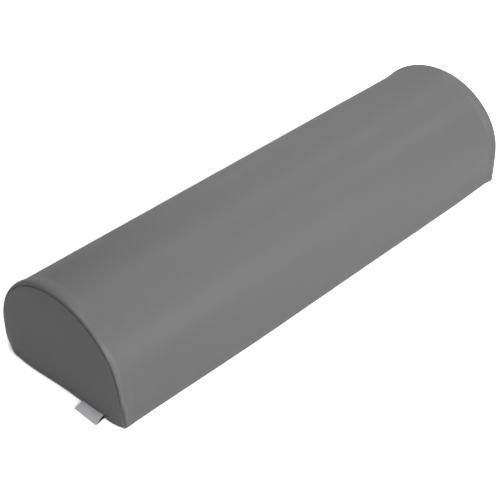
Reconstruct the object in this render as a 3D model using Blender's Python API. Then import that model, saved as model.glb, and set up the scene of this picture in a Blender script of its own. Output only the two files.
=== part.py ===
"""Half round bolster: a foam block in a sewn vinyl cover that a zip closes along the rear side.

Metres, +Z up. X runs along the bolster, the near end at -X. Y runs across it, the front at -Y and the
zip at +Y. The origin is the middle of the flat underside.
"""
import math

import bmesh
import bpy
from mathutils import Matrix, Vector

# Overall size of the stuffed bolster
LENGTH = 0.600           # from end seam to end seam
WIDTH = 0.180            # across the flat base
HEIGHT = 0.117           # from the base to the crest
SIDE_HEIGHT = 0.034      # straight sides below the arch

# Sheet of the cover
VINYL = 0.0012           # thickness
CLEARANCE = 0.0003       # left between pieces that touch
SEAM_GAP = 0.0005        # between the faces of two panels in a seam
SEAM_ALLOWANCE = 0.0045  # turned-in edge behind a seam
END_SEAM_DRAW = 0.0030   # how far the end seams are drawn in from the sides
END_ROLL = 0.010         # length of the wrap that rolls into an end seam
END_FLARE = 0.0009       # swelling of the wrap just before that roll
FLARE_REACH = 0.0135     # the swelling's distance from the end seam
FLARE_FADE = 0.026       # the swelling is gone at this distance
BASE_SEAM_DRAW = 0.0022  # how far the bottom seams are drawn in and lifted
BASE_ROLL = 0.008        # length of a panel that rolls into a bottom seam
ROLL_PULL = 0.0018       # roundness of a rolled edge beside its seam
ROLL_HOLD = 0.62         # share of a roll that still follows the panel's body
END_PANEL_ROLL = 0.012   # width of the end panel's rolled rim
END_PANEL_RIM = 0.0026   # how far the rim stands out past its seam
END_PANEL_CROWN = 0.0044 # how far the middle of the end panel stands out past its seam
CROWN_FULLNESS = 3.0     # a higher number fills the crown out nearer to its rim

# Zip in the rear side
ZIP_END_GAP = 0.050      # from each end seam to the end of the zip
ZIP_CENTRE_HEIGHT = 0.018
ZIP_OPENING = 0.010      # between the two folded edges
ZIP_OPENING_OVERRUN = 0.003  # the opening runs on past the zip's end
ZIP_OPENING_TAPER = 0.012    # and closes over this length
HEM = 0.006              # folded-in edge beside the zip
BASE_CORNER = 0.0075     # radius of the base panel where it turns up behind
TAPE_WIDTH = 0.0095
TAPE_THICKNESS = 0.0005
TAPE_TAIL = 0.010        # tape past each end of the teeth
TOOTH_PITCH = 0.0028
TOOTH_THICKNESS = 0.0024
TOOTH_HEAD = 0.00115     # width of a tooth at its tip
TOOTH_ROOT = 0.00095     # width of a tooth at its root
TOOTH_REACH = 0.0029     # length of a tooth
TOOTH_PAST_CENTRE = 0.0009
TOOTH_BEAD = 0.0009      # strip that carries the teeth
STOP_LENGTH = 0.0022

# Slider and pull
SLIDER_LENGTH = 0.011
SLIDER_WIDTH = 0.0086
SLIDER_PLATE = 0.0010
SLIDER_CORNER = 0.0020
PLATE_LAP = 0.0005       # how far the slider's pieces run into its plates
FLANGE_WIDTH = 0.0010
FLANGE_SLOT = 0.0012     # height left for the tape between the flanges
POST_LENGTH = 0.0040
POST_WIDTH = 0.0026
POST_SHOULDER = 0.0016   # from the post's nose to its widest point
POST_NOSE_WIDTH = 0.0016
POST_INSET = 0.0003      # from the slider's nose
BRIDGE_SPAN = 0.0056
BRIDGE_WIDTH = 0.0024
BRIDGE_METAL = 0.0009
BRIDGE_CORNER = 0.00125  # outer radius of its two bends
PULL_LENGTH = 0.026
PULL_WIDTH = 0.0070
PULL_THICKNESS = 0.0012  # also the diameter of its bar, which lies under the bridge
PULL_SIDE_GAP = 0.0004   # between the bridge and the pull's window
PULL_LIFT = 0.0003       # between the cover's face and the pull lying flat
PULL_CORNER = 0.0020
PULL_GRIP_SLOT = 0.0024
PULL_GRIP_SLOT_LENGTH = 0.0050
PULL_GRIP_SLOT_INSET = 0.0052  # from the pull's tip to the middle of the slot
PULL_GRIP_SLOT_CORNER = 0.0010

# Label in the near end's bottom seam
LABEL_WIDTH = 0.032
LABEL_REACH = 0.0155     # how far it stands out past the seam
LABEL_ROOT = 0.0030      # part held inside the seam
LABEL_CORNER_GAP = 0.026 # from the front side to its near edge
LABEL_RIBBON = 0.0002    # thickness of one layer
LABEL_FOLD = 0.0009      # thickness at the folded end
LABEL_KNEE_OUT = 0.0012  # it comes out of the seam and bends down to the floor this far out
LABEL_KNEE_DROP = 0.0010 # and this far down
LABEL_FLAT = 0.0085      # it lies flat from here, measured from the seam, to its folded end

# Steps of the curves
ARCH_STEPS = 26
ROLL_STEPS = 3
FOLD_STEPS = 4
CORNER_STEPS = 3
CROWN_STEPS = 4
BAR_STEPS = 8            # half-way round the pull's bar
SMOOTH_ANGLE = 40.0      # edges turned less than this are shaded smooth

# Looks: colour, roughness and metallic value
VINYL_LOOK = ((0.180, 0.180, 0.182), 0.46, 0.0)
FOAM_LOOK = ((0.780, 0.760, 0.620), 0.90, 0.0)
SATIN_LOOK = ((0.480, 0.460, 0.520), 0.38, 0.0)
TAPE_LOOK = ((0.075, 0.075, 0.078), 0.80, 0.0)
PLASTIC_LOOK = ((0.060, 0.060, 0.063), 0.35, 0.0)
METAL_LOOK = ((0.400, 0.400, 0.410), 0.32, 0.9)

HALF_LENGTH = LENGTH / 2
HALF_WIDTH = WIDTH / 2
INWARD = Vector((-1.0, -1.0)).normalized()
SKIN = VINYL + CLEARANCE
LABEL_CENTRE_Y = LABEL_CORNER_GAP + LABEL_WIDTH / 2 - HALF_WIDTH
LABEL_SEWN = 2 * LABEL_RIBBON + CLEARANCE
LABEL_SEAM_GAP = LABEL_SEWN + 2 * CLEARANCE
ZIP_LENGTH = LENGTH - 2 * ZIP_END_GAP
FOLD_RADIUS = VINYL + CLEARANCE / 2
TAPE_CENTRE_Y = HALF_WIDTH - 2 * FOLD_RADIUS - CLEARANCE - TAPE_THICKNESS / 2
CHANNEL = TOOTH_THICKNESS / 2 + CLEARANCE
CHANNEL_HALF_WIDTH = SLIDER_WIDTH / 2 - FLANGE_WIDTH
PULL_PIVOT_Y = HALF_WIDTH + PULL_LIFT + PULL_THICKNESS / 2
SLIDER_REST_X = ZIP_LENGTH / 2 - STOP_LENGTH - CLEARANCE - SLIDER_LENGTH / 2


def clear_scene():
    for obj in list(bpy.data.objects):
        bpy.data.objects.remove(obj, do_unlink=True)


def make_material(name, look):
    colour, roughness, metallic = look
    material = bpy.data.materials.new(name)
    material.use_nodes = True
    shader = material.node_tree.nodes["Principled BSDF"]
    shader.inputs["Base Color"].default_value = (*colour, 1.0)
    shader.inputs["Roughness"].default_value = roughness
    shader.inputs["Metallic"].default_value = metallic
    return material


def add_object(name, bm, look=None):
    """Object with its own material; a helper that is left out of the model has none."""
    mesh = bpy.data.meshes.new(name)
    bm.to_mesh(mesh)
    bm.free()
    obj = bpy.data.objects.new(name, mesh)
    bpy.context.scene.collection.objects.link(obj)
    mesh.shade_smooth()
    mesh.set_sharp_from_angle(angle=math.radians(SMOOTH_ANGLE))
    if look:
        mesh.materials.append(make_material(name, look))
    return obj


def bezier(p0, p1, p2, p3, steps):
    """Points of a cubic curve, both ends included."""
    points = []
    for step in range(steps + 1):
        t = step / steps
        s = 1.0 - t
        points.append(s ** 3 * p0 + 3 * s * s * t * p1 + 3 * s * t * t * p2 + t ** 3 * p3)
    return points


def rolled_edge(reach, rise, gap):
    """Outer face of a panel that rolls into a seam at (0, 0), as (along, out) points.

    The list starts on the panel's body, at (-reach, rise). The last point but one lies on the seam,
    half a gap from its middle, and the last is the tip of the turned-in allowance.
    """
    side = Vector((-1.0, 1.0)).normalized() * gap / 2
    start = Vector((-reach, rise))
    held = start + Vector((reach * ROLL_HOLD, 0.0))
    points = bezier(start, held, side - INWARD * ROLL_PULL, side, ROLL_STEPS)
    return points + [side + INWARD * SEAM_ALLOWANCE]


def turn(centre, radius, start, end, steps):
    """Points of an arc, without its first point; angles in degrees."""
    points = []
    for step in range(1, steps + 1):
        angle = math.radians(start + (end - start) * step / steps)
        points.append(Vector(centre) + radius * Vector((math.cos(angle), math.sin(angle))))
    return points


def arch(inset=0.0):
    """Half-ellipse of the top from the front side to the rear side, as (y, z) points and normals."""
    rise = HEIGHT - SIDE_HEIGHT
    points = []
    for step in range(ARCH_STEPS + 1):
        angle = math.pi * (1.0 - step / ARCH_STEPS)
        normal = Vector((math.cos(angle) / HALF_WIDTH, math.sin(angle) / rise)).normalized()
        point = Vector((HALF_WIDTH * math.cos(angle), SIDE_HEIGHT + rise * math.sin(angle)))
        points.append((point - normal * inset, normal))
    return points


def zip_half_opening(x):
    """Half the distance between the folded edges at x: open along the zip, closed past its ends."""
    past = abs(x) - ZIP_LENGTH / 2 - ZIP_OPENING_OVERRUN
    share = min(max(past / ZIP_OPENING_TAPER, 0.0), 1.0)
    return (1.0 - share) * ZIP_OPENING / 2 + share * CLEARANCE / 2


def seam_kind(index):
    """Kind of the points of a rolled edge that is listed from its turned-in tip."""
    if index == 0:
        return "tip"
    return "roll" if index <= ROLL_STEPS else "body"


def folded_edge(edge, direction):
    """Fold beside the zip and the hem behind it; direction is 1 where the panel comes from below."""
    rows = []
    centre = (HALF_WIDTH - FOLD_RADIUS, edge)
    for step, point in enumerate(turn(centre, FOLD_RADIUS, 0, 180 * direction, FOLD_STEPS)):
        rows.append((point, "lip" if step == 0 else "fold"))
    rows.append((Vector((HALF_WIDTH - 2 * FOLD_RADIUS, edge - direction * HEM)), "hem"))
    return rows


def wrap_rows(opening):
    """Cross-section of the wrap for one width of the zip's opening, as (point, outward push, kind)."""
    front = Vector((-1.0, 0.0))
    rear = Vector((1.0, 0.0))
    rows = []
    for index, (along, out) in enumerate(reversed(rolled_edge(BASE_ROLL, BASE_SEAM_DRAW, SEAM_GAP))):
        point = Vector((-(HALF_WIDTH - BASE_SEAM_DRAW) - out, BASE_SEAM_DRAW - along))
        rows.append((point, front, seam_kind(index)))
    rows += [(point, normal, "body") for point, normal in arch()]
    edge = ZIP_CENTRE_HEIGHT + opening + FOLD_RADIUS
    rows.append((Vector((HALF_WIDTH, edge)), rear, "roll"))
    rows += [(point, rear, kind) for point, kind in folded_edge(edge, -1)]
    return rows


def base_rows(opening):
    """Cross-section of the base panel, from the front bottom seam, under the foam and up behind."""
    rows = []
    for index, (along, out) in enumerate(reversed(rolled_edge(BASE_ROLL, BASE_SEAM_DRAW, SEAM_GAP))):
        point = Vector((-(HALF_WIDTH - BASE_SEAM_DRAW) - along, BASE_SEAM_DRAW - out))
        rows.append((point, seam_kind(index)))
    rows.append((Vector((0.0, 0.0)), "body"))
    rows.append((Vector((HALF_WIDTH - BASE_CORNER, 0.0)), "body"))
    for point in turn((HALF_WIDTH - BASE_CORNER, BASE_CORNER), BASE_CORNER, -90, 0, CORNER_STEPS):
        rows.append((point, "roll"))
    edge = ZIP_CENTRE_HEIGHT - opening - FOLD_RADIUS
    rows.append((Vector((HALF_WIDTH, edge)), "roll"))
    return rows + folded_edge(edge, 1)


def body_stations():
    """Distances from the end seam, as negative numbers, where the cover's body changes its shape."""
    closed = ZIP_OPENING_OVERRUN + ZIP_OPENING_TAPER - ZIP_END_GAP
    stations = [-END_ROLL]
    for along in sorted((-FLARE_REACH, -FLARE_FADE, closed, closed - ZIP_OPENING_TAPER), reverse=True):
        if stations[-1] - along > CLEARANCE:
            stations.append(along)
    return stations[1:]


def end_columns():
    """Stations of the cover at one end, seam allowance first, as (along, wrap share, base share, kind).

    The shares say how far a row has come from the end seam, 0, to its full size, 1.
    """
    wrap = list(reversed(rolled_edge(END_ROLL, END_SEAM_DRAW + END_FLARE, SEAM_GAP)))
    base = list(reversed(rolled_edge(END_ROLL, BASE_SEAM_DRAW, LABEL_SEAM_GAP)))
    columns = []
    for index, (side, under) in enumerate(zip(wrap, base)):
        columns.append((side.x, side.y / END_SEAM_DRAW, under.y / BASE_SEAM_DRAW, seam_kind(index)))
    for along in body_stations():
        flare_left = min(max((along + FLARE_FADE) / (FLARE_FADE - FLARE_REACH), 0.0), 1.0)
        columns.append((along, 1.0 + flare_left * END_FLARE / END_SEAM_DRAW, 1.0, "body"))
    return columns


def all_columns():
    """Stations along the whole cover from the near end to the far end, as (x, shares, kind)."""
    near = [(-(HALF_LENGTH + c[0]), *c[1:]) for c in end_columns()]
    far = [(HALF_LENGTH + c[0], *c[1:]) for c in reversed(end_columns())]
    return near + far


def grid_sheet(columns, rows_at, place):
    """Sheet of quads between stations and rows, with some cells cut out at the corners."""
    bm = bmesh.new()
    grid = []
    for column in columns:
        rows = rows_at(zip_half_opening(column[0]))
        grid.append([(bm.verts.new(place(column, row)), row[-1]) for row in rows])
    for c in range(len(grid) - 1):
        kinds = {columns[c][3], columns[c + 1][3]}
        for r in range(len(grid[0]) - 1):
            row_kinds = {grid[c][r][1], grid[c][r + 1][1]}
            if keep_cell(kinds, row_kinds):
                corners = (grid[c][r], grid[c + 1][r], grid[c + 1][r + 1], grid[c][r + 1])
                bm.faces.new([corner[0] for corner in corners])
    bmesh.ops.delete(bm, geom=[v for v in bm.verts if not v.link_faces], context="VERTS")
    return bm


def thicken(obj):
    """Give a sheet the vinyl's thickness on its inner side."""
    solid = obj.modifiers.new("vinyl thickness", "SOLIDIFY")
    solid.thickness = VINYL
    solid.offset = -1.0


def keep_cell(column_kinds, row_kinds):
    """Corners where two turned-in edges would meet are clipped, and folds stop short of the ends."""
    if "tip" in column_kinds:
        return row_kinds == {"body"}
    if "roll" in column_kinds:
        return not row_kinds & {"tip", "fold", "hem"}
    return True


def wrap_place(column, row):
    x, share = column[0], column[1]
    point, push, _ = row
    y, z = point - push * END_SEAM_DRAW * (1.0 - share)
    return Vector((x, y, z))


def base_end_point(point):
    """Where a row of the base panel meets the end seam, before the seam's gap."""
    return Vector((point.x * (1.0 - END_SEAM_DRAW / HALF_WIDTH), max(point.y, BASE_SEAM_DRAW)))


def base_place(column, row):
    x, side_share, under_share, _ = column
    point = row[0]
    end = base_end_point(point)
    y = end.x + (point.x - end.x) * side_share
    z = end.y + (point.y - end.y) * under_share
    return Vector((x, y, z))


def make_wrap():
    bm = grid_sheet(all_columns(), wrap_rows, wrap_place)
    thicken(add_object("top_cover", bm, VINYL_LOOK))


def make_base():
    bm = grid_sheet(all_columns(), base_rows, base_place)
    bmesh.ops.reverse_faces(bm, faces=bm.faces)
    thicken(add_object("base_panel", bm, VINYL_LOOK))


def end_seam_ring():
    """Closed outline of an end seam, as (point, kind): over the arch, down the rear, back below."""
    closed = CLEARANCE / 2
    seen = {"body", "roll"}
    over = [(point - push * END_SEAM_DRAW, kind) for point, push, kind in wrap_rows(closed) if kind in seen]
    under = [(base_end_point(point), kind) for point, kind in base_rows(closed) if kind in seen]
    return over + list(reversed(under[1:]))


def make_end_panel(name, side):
    """Crowned D-shaped panel; side is -1 for the near end and 1 for the far end."""
    ring = end_seam_ring()
    top = max(point.y for point, _ in ring)
    middle = (top + BASE_SEAM_DRAW) / 2
    half_height = (top - BASE_SEAM_DRAW) / 2
    half_width = HALF_WIDTH - END_SEAM_DRAW
    stations = list(reversed(rolled_edge(END_PANEL_ROLL, END_PANEL_RIM, SEAM_GAP)))
    for step in range(1, CROWN_STEPS):
        share = step / CROWN_STEPS
        swell = 1.0 - (1.0 - share) ** CROWN_FULLNESS
        inset = END_PANEL_ROLL + share * (half_height - END_PANEL_ROLL)
        stations.append(Vector((-inset, END_PANEL_RIM + swell * (END_PANEL_CROWN - END_PANEL_RIM))))
    bm = bmesh.new()
    loops = []
    for inset, out in stations:
        loop = []
        for point, _ in ring:
            low = point.y < BASE_SEAM_DRAW + CLEARANCE
            lift = LABEL_SEAM_GAP / 2 if low and inset > -END_PANEL_ROLL else 0.0
            y = point.x * (1.0 + inset / half_width)
            z = middle + (point.y - middle) * (1.0 + inset / half_height) + lift
            loop.append(bm.verts.new((side * (HALF_LENGTH + out), y, z)))
        loops.append(loop)
    count = len(ring)
    for band, (outer, inner) in enumerate(zip(loops, loops[1:])):
        for i in range(count):
            j = (i + 1) % count
            if band > 0 or {ring[i][1], ring[j][1]} == {"body"}:
                bm.faces.new((outer[i], outer[j], inner[j], inner[i]))
    bmesh.ops.delete(bm, geom=[v for v in loops[0] if not v.link_faces], context="VERTS")
    hub = bm.verts.new((side * (HALF_LENGTH + END_PANEL_CROWN), 0.0, middle))
    for i in range(count):
        bm.faces.new((loops[-1][i], loops[-1][(i + 1) % count], hub))
    bmesh.ops.recalc_face_normals(bm, faces=bm.faces)
    if hub.normal.x * side < 0:
        bmesh.ops.reverse_faces(bm, faces=bm.faces)
    thicken(add_object(name, bm, VINYL_LOOK))


def foam_section(inset):
    """Closed outline of the foam: chamfered below, rebated behind for the zip."""
    rebate = TAPE_CENTRE_Y - CHANNEL - SLIDER_PLATE - CLEARANCE
    rebate_top = ZIP_CENTRE_HEIGHT + ZIP_OPENING / 2 + FOLD_RADIUS + HEM + CLEARANCE
    side = HALF_WIDTH - SKIN - inset
    bottom = SKIN + inset
    chamfer = 2 * (BASE_SEAM_DRAW + CLEARANCE - SKIN) + SEAM_ALLOWANCE * math.sqrt(2)
    points = [Vector((-side + chamfer, bottom)), Vector((-side, bottom + chamfer))]
    points += [point for point, _ in arch(SKIN + inset)]
    points.append(Vector((side, rebate_top + CLEARANCE)))
    rear = min(side, rebate)
    corner = max(rebate + BASE_CORNER - HALF_WIDTH, 0.0) + CLEARANCE
    points.append(Vector((rear, rebate_top)))
    points.append(Vector((rear, bottom + corner)))
    points.append(Vector((rear - corner, bottom)))
    return points


def make_foam():
    """Foam block with pressed-in edges at both ends."""
    face_out = END_PANEL_RIM - SKIN - CLEARANCE
    pressed_in = END_SEAM_DRAW + 2 * (CLEARANCE - SKIN) + SEAM_ALLOWANCE * math.sqrt(2)
    body_x = HALF_LENGTH - SKIN - pressed_in
    sections = []
    for side in (-1, 1):
        sections.append((side * body_x, 0.0))
        sections.append((side * (HALF_LENGTH + face_out), pressed_in + SKIN + face_out))
    sections.sort(key=lambda section: section[0])
    bm = bmesh.new()
    loops = []
    for x, inset in sections:
        loops.append([bm.verts.new((x, point.x, point.y)) for point in foam_section(inset)])
    count = len(loops[0])
    for first, second in zip(loops, loops[1:]):
        for i in range(count):
            j = (i + 1) % count
            bm.faces.new((first[i], first[j], second[j], second[i]))
    bm.faces.new(loops[0])
    bm.faces.new(loops[-1])
    bmesh.ops.recalc_face_normals(bm, faces=bm.faces)
    add_object("foam_core", bm, FOAM_LOOK)


def extruded(outline, low, high):
    """Prism from an outline of (a, b) points between two heights c."""
    bm = bmesh.new()
    face = bm.faces.new([bm.verts.new((a, b, low)) for a, b in outline])
    top = bmesh.ops.extrude_face_region(bm, geom=[face])
    verts = [item for item in top["geom"] if isinstance(item, bmesh.types.BMVert)]
    bmesh.ops.translate(bm, vec=(0.0, 0.0, high - low), verts=verts)
    bmesh.ops.recalc_face_normals(bm, faces=bm.faces)
    return bm


def rectangle(a0, a1, b0, b1):
    return [(a0, b0), (a1, b0), (a1, b1), (a0, b1)]


def on_zip(obj, x=0.0):
    """Stand an object on the zip: its X along the chain, its Z out of the rear side."""
    place = Matrix.Translation((x, TAPE_CENTRE_Y, ZIP_CENTRE_HEIGHT))
    obj.matrix_world = place @ Matrix.Rotation(-math.pi / 2, 4, "X")


def make_tape(name, side):
    inner = TOOTH_REACH - TOOTH_PAST_CENTRE + TOOTH_BEAD + CLEARANCE
    reach = ZIP_LENGTH / 2 + TAPE_TAIL
    b0, b1 = sorted((side * inner, side * (inner + TAPE_WIDTH)))
    bm = extruded(rectangle(-reach, reach, b0, b1), -TAPE_THICKNESS / 2, TAPE_THICKNESS / 2)
    on_zip(add_object(name, bm, TAPE_LOOK))


def make_teeth(name, side, shift):
    """One row of teeth on its bead; the heads reach past the centre between the other row's teeth."""
    start = -ZIP_LENGTH / 2 + STOP_LENGTH + CLEARANCE
    post_tail = SLIDER_REST_X + SLIDER_LENGTH / 2 - POST_INSET - POST_LENGTH
    count = int((post_tail - CLEARANCE - start) / TOOTH_PITCH - shift)
    root = TOOTH_REACH - TOOTH_PAST_CENTRE
    back = root + TOOTH_BEAD
    bm = bmesh.new()

    def vertex(a, b):
        return bm.verts.new((a, side * b, 0.0))

    corner = vertex(start, root)
    behind = vertex(start, back)
    for tooth in range(count):
        middle = start + (tooth + 0.5 + shift) * TOOTH_PITCH
        left = vertex(middle - TOOTH_ROOT / 2, root)
        right = vertex(middle + TOOTH_ROOT / 2, root)
        tip_right = vertex(middle + TOOTH_HEAD / 2, -TOOTH_PAST_CENTRE)
        tip_left = vertex(middle - TOOTH_HEAD / 2, -TOOTH_PAST_CENTRE)
        next_behind = vertex(middle + TOOTH_ROOT / 2, back)
        bm.faces.new((left, tip_left, tip_right, right))
        bm.faces.new((corner, left, right, next_behind, behind))
        corner = right
        behind = next_behind
    bmesh.ops.recalc_face_normals(bm, faces=bm.faces)
    top = bmesh.ops.extrude_face_region(bm, geom=bm.faces[:])
    verts = [item for item in top["geom"] if isinstance(item, bmesh.types.BMVert)]
    bmesh.ops.translate(bm, vec=(0.0, 0.0, -TOOTH_THICKNESS / 2), verts=bm.verts)
    bmesh.ops.translate(bm, vec=(0.0, 0.0, TOOTH_THICKNESS), verts=verts)
    bmesh.ops.recalc_face_normals(bm, faces=bm.faces)
    on_zip(add_object(name, bm, PLASTIC_LOOK))


def make_stops():
    """A stop on each tape in front of the closed slider, and one across both rows where they begin."""
    edge = TOOTH_REACH - TOOTH_PAST_CENTRE + TOOTH_BEAD
    half = TOOTH_THICKNESS / 2
    reach = ZIP_LENGTH / 2
    upper = extruded(rectangle(reach - STOP_LENGTH, reach, -edge, -CLEARANCE / 2), -half, half)
    lower = extruded(rectangle(reach - STOP_LENGTH, reach, CLEARANCE / 2, edge), -half, half)
    bottom = extruded(rectangle(-reach, -reach + STOP_LENGTH, -edge, edge), -half, half)
    on_zip(add_object("zip_top_stop_upper", upper, PLASTIC_LOOK))
    on_zip(add_object("zip_top_stop_lower", lower, PLASTIC_LOOK))
    on_zip(add_object("zip_bottom_stop", bottom, PLASTIC_LOOK))


def rounded_rectangle(length, width, radius):
    """Outline with four round corners, whose radius stays under half the shorter side."""
    radius = min(radius, min(length, width) / 2 - CLEARANCE / 2)
    points = []
    for corner, (sa, sb) in enumerate(((1, 1), (-1, 1), (-1, -1), (1, -1))):
        centre = (sa * (length / 2 - radius), sb * (width / 2 - radius))
        start = 90 * corner
        points += turn(centre, radius, start, start, 1)
        points += turn(centre, radius, start, start + 90, CORNER_STEPS)
    return [(point.x, point.y) for point in points]


def combine(target, tool, operation):
    """Boolean of one object with a helper that is itself left out of the model."""
    modifier = target.modifiers.new(tool.name, "BOOLEAN")
    modifier.operation = operation
    modifier.object = tool
    modifier.solver = "EXACT"
    tool.hide_render = True
    tool.display_type = "WIRE"


def slider_plate(low):
    return extruded(rounded_rectangle(SLIDER_LENGTH, SLIDER_WIDTH, SLIDER_CORNER), low, low + SLIDER_PLATE)


def bridge_outline():
    """Arch of the bridge in the slider's long section: outer curve, then the opening under it."""
    foot = CHANNEL + PLATE_LAP
    pivot = PULL_PIVOT_Y - TAPE_CENTRE_Y
    clear = PULL_THICKNESS / 2 + CLEARANCE
    top = pivot + clear + BRIDGE_METAL
    half = BRIDGE_SPAN / 2
    bend = half - BRIDGE_CORNER
    below = top - BRIDGE_CORNER
    outer = [Vector((half, foot)), Vector((half, below))]
    outer += turn((bend, below), BRIDGE_CORNER, 0, 90, CORNER_STEPS)
    outer.append(Vector((-bend, top)))
    outer += turn((-bend, below), BRIDGE_CORNER, 90, 180, CORNER_STEPS)
    outer.append(Vector((-half, foot)))
    inner_half = half - BRIDGE_METAL
    inner_top = top - BRIDGE_METAL
    inner = [Vector((-inner_half, foot)), Vector((-inner_half, inner_top)),
             Vector((inner_half, inner_top)), Vector((inner_half, foot))]
    return outer + inner


def make_slider():
    """Two wings with side flanges, joined by the dividing post at the nose, with the pull's bridge."""
    body = add_object("zip_slider", slider_plate(CHANNEL), METAL_LOOK)
    inside = CHANNEL + PLATE_LAP
    tools = [add_object("slider bottom wing", slider_plate(-CHANNEL - SLIDER_PLATE))]
    reach = SLIDER_LENGTH / 2 - SLIDER_CORNER
    for side in (-1, 1):
        b0, b1 = sorted((side * CHANNEL_HALF_WIDTH, side * SLIDER_WIDTH / 2))
        for low, high in ((FLANGE_SLOT / 2, inside), (-inside, -FLANGE_SLOT / 2)):
            flange = extruded(rectangle(-reach, reach, b0, b1), low, high)
            tools.append(add_object("slider flange", flange))
    nose = SLIDER_LENGTH / 2 - POST_INSET
    half = [(nose, POST_NOSE_WIDTH / 2), (nose - POST_SHOULDER, POST_WIDTH / 2)]
    post = half + [(nose - POST_LENGTH, 0.0)] + [(a, -b) for a, b in reversed(half)]
    tools.append(add_object("slider post", extruded(post, -inside, inside)))
    bridge = extruded([(p.x, p.y) for p in bridge_outline()], -BRIDGE_WIDTH / 2, BRIDGE_WIDTH / 2)
    upright = Matrix.Rotation(math.pi / 2, 3, "X")
    bmesh.ops.rotate(bridge, cent=(0, 0, 0), matrix=upright, verts=bridge.verts)
    tools.append(add_object("slider bridge", bridge))
    on_zip(body, SLIDER_REST_X)
    for tool in tools:
        on_zip(tool, SLIDER_REST_X)
        combine(body, tool, "UNION")


def pull_section():
    """Long section of the pull, as (along, thickness): half round about its pivot, flat to its tip."""
    bar = PULL_THICKNESS / 2
    tip = -(PULL_LENGTH + CLEARANCE)
    section = [Vector((tip, -bar)), Vector((0.0, -bar))]
    return section + turn((0.0, 0.0), bar, -90, 90, BAR_STEPS) + [Vector((tip, bar))]


def pull_window_section(swing):
    """Long section of the window's cutter, hollowed round the bar so that the bar is left round."""
    section = [Vector((-swing, -PULL_THICKNESS)), Vector((0.0, -PULL_THICKNESS))]
    section.append(Vector((0.0, -PULL_THICKNESS / 2)))
    section += turn((0.0, 0.0), PULL_THICKNESS / 2, -90, -270, BAR_STEPS)
    return section + [Vector((0.0, PULL_THICKNESS)), Vector((-swing, PULL_THICKNESS))]


def across_pull(section, half):
    """Prism of a long section, from one side of the pull to the other."""
    bm = extruded([(p.x, p.y) for p in section], -half, half)
    upright = Matrix.Rotation(math.pi / 2, 3, "X")
    bmesh.ops.rotate(bm, cent=(0, 0, 0), matrix=upright, verts=bm.verts)
    return bm


def make_pull():
    """Tab that lies flat towards the closed teeth; its round end bar passes under the slider's bridge."""
    bar = PULL_THICKNESS / 2
    middle = -(PULL_LENGTH / 2 - bar)
    outline = [(a + middle, b) for a, b in rounded_rectangle(PULL_LENGTH, PULL_WIDTH, PULL_CORNER)]
    tab = extruded(outline, -PULL_THICKNESS, PULL_THICKNESS)
    pull = add_object("zip_pull", tab, METAL_LOOK)
    slab = add_object("pull slab", across_pull(pull_section(), PULL_WIDTH))
    pivot = PULL_PIVOT_Y - TAPE_CENTRE_Y
    swing = math.hypot(BRIDGE_SPAN / 2, pivot - CHANNEL - SLIDER_PLATE) + PULL_SIDE_GAP + CLEARANCE
    half = BRIDGE_WIDTH / 2 + PULL_SIDE_GAP
    window = add_object("pull window", across_pull(pull_window_section(swing), half))
    slot_middle = bar - PULL_LENGTH + PULL_GRIP_SLOT_INSET
    slot = rounded_rectangle(PULL_GRIP_SLOT_LENGTH, PULL_GRIP_SLOT, PULL_GRIP_SLOT_CORNER)
    grip = extruded([(a + slot_middle, b) for a, b in slot], -PULL_THICKNESS, PULL_THICKNESS)
    tools = [(slab, "INTERSECT"), (window, "DIFFERENCE"), (add_object("pull grip slot", grip), "DIFFERENCE")]
    lift = Matrix.Translation((SLIDER_REST_X, PULL_PIVOT_Y, ZIP_CENTRE_HEIGHT))
    turned = lift @ Matrix.Rotation(-math.pi / 2, 4, "X")
    pull.matrix_world = turned
    for tool, operation in tools:
        tool.matrix_world = turned
        combine(pull, tool, operation)


def label_face(depth):
    """Line at one depth in the ribbon, from the seam out, round the fold and back, as (out, height)."""
    seam = Vector((0.0, BASE_SEAM_DRAW))
    root = seam + Vector((INWARD.x, -INWARD.y)) * LABEL_ROOT
    knee = seam + Vector((LABEL_KNEE_OUT, -LABEL_KNEE_DROP))
    lie = LABEL_FOLD / 2 + CLEARANCE
    flat = Vector((LABEL_FLAT, lie))
    fold = Vector((LABEL_REACH - LABEL_FOLD / 2, lie))
    slant = Vector((-INWARD.x, -INWARD.y))
    bent = (slant + Vector((0.0, 1.0))).normalized()
    up = Vector((0.0, 1.0))
    sewn = LABEL_SEWN / 2 - depth
    open_end = LABEL_FOLD / 2 - depth
    line = [(root, slant, sewn), (seam, slant, sewn), (knee, bent, sewn), (flat, up, open_end)]
    over = [point + normal * half for point, normal, half in line]
    under = [point - normal * half for point, normal, half in reversed(line)]
    return over + [fold + up * open_end] + turn(fold, open_end, 90, -90, FOLD_STEPS) + under


def make_label():
    """Ribbon folded double, its ends held in the near end's bottom seam, lying just above the floor."""
    outline = label_face(0.0) + list(reversed(label_face(LABEL_RIBBON)))
    bm = extruded([(p.x, p.y) for p in outline], -LABEL_WIDTH / 2, LABEL_WIDTH / 2)
    obj = add_object("label_tag", bm, SATIN_LOOK)
    out_of_end = Matrix(((-1, 0, 0, 0), (0, 0, 1, 0), (0, 1, 0, 0), (0, 0, 0, 1)))
    obj.matrix_world = Matrix.Translation((-HALF_LENGTH, LABEL_CENTRE_Y, 0.0)) @ out_of_end


def build():
    clear_scene()
    make_foam()
    make_wrap()
    make_end_panel("near_end_panel", -1)
    make_end_panel("far_end_panel", 1)
    make_base()
    make_label()
    make_tape("zip_tape_upper", -1)
    make_tape("zip_tape_lower", 1)
    make_teeth("zip_teeth_upper", -1, 0.0)
    make_teeth("zip_teeth_lower", 1, 0.5)
    make_stops()
    make_slider()
    make_pull()


build()
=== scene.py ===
"""Half round bolster in its grey vinyl cover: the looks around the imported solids.

Metres. X runs along the bolster, the near end at -X; the zip is in the rear side, at +Y.
"""

import math

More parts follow.
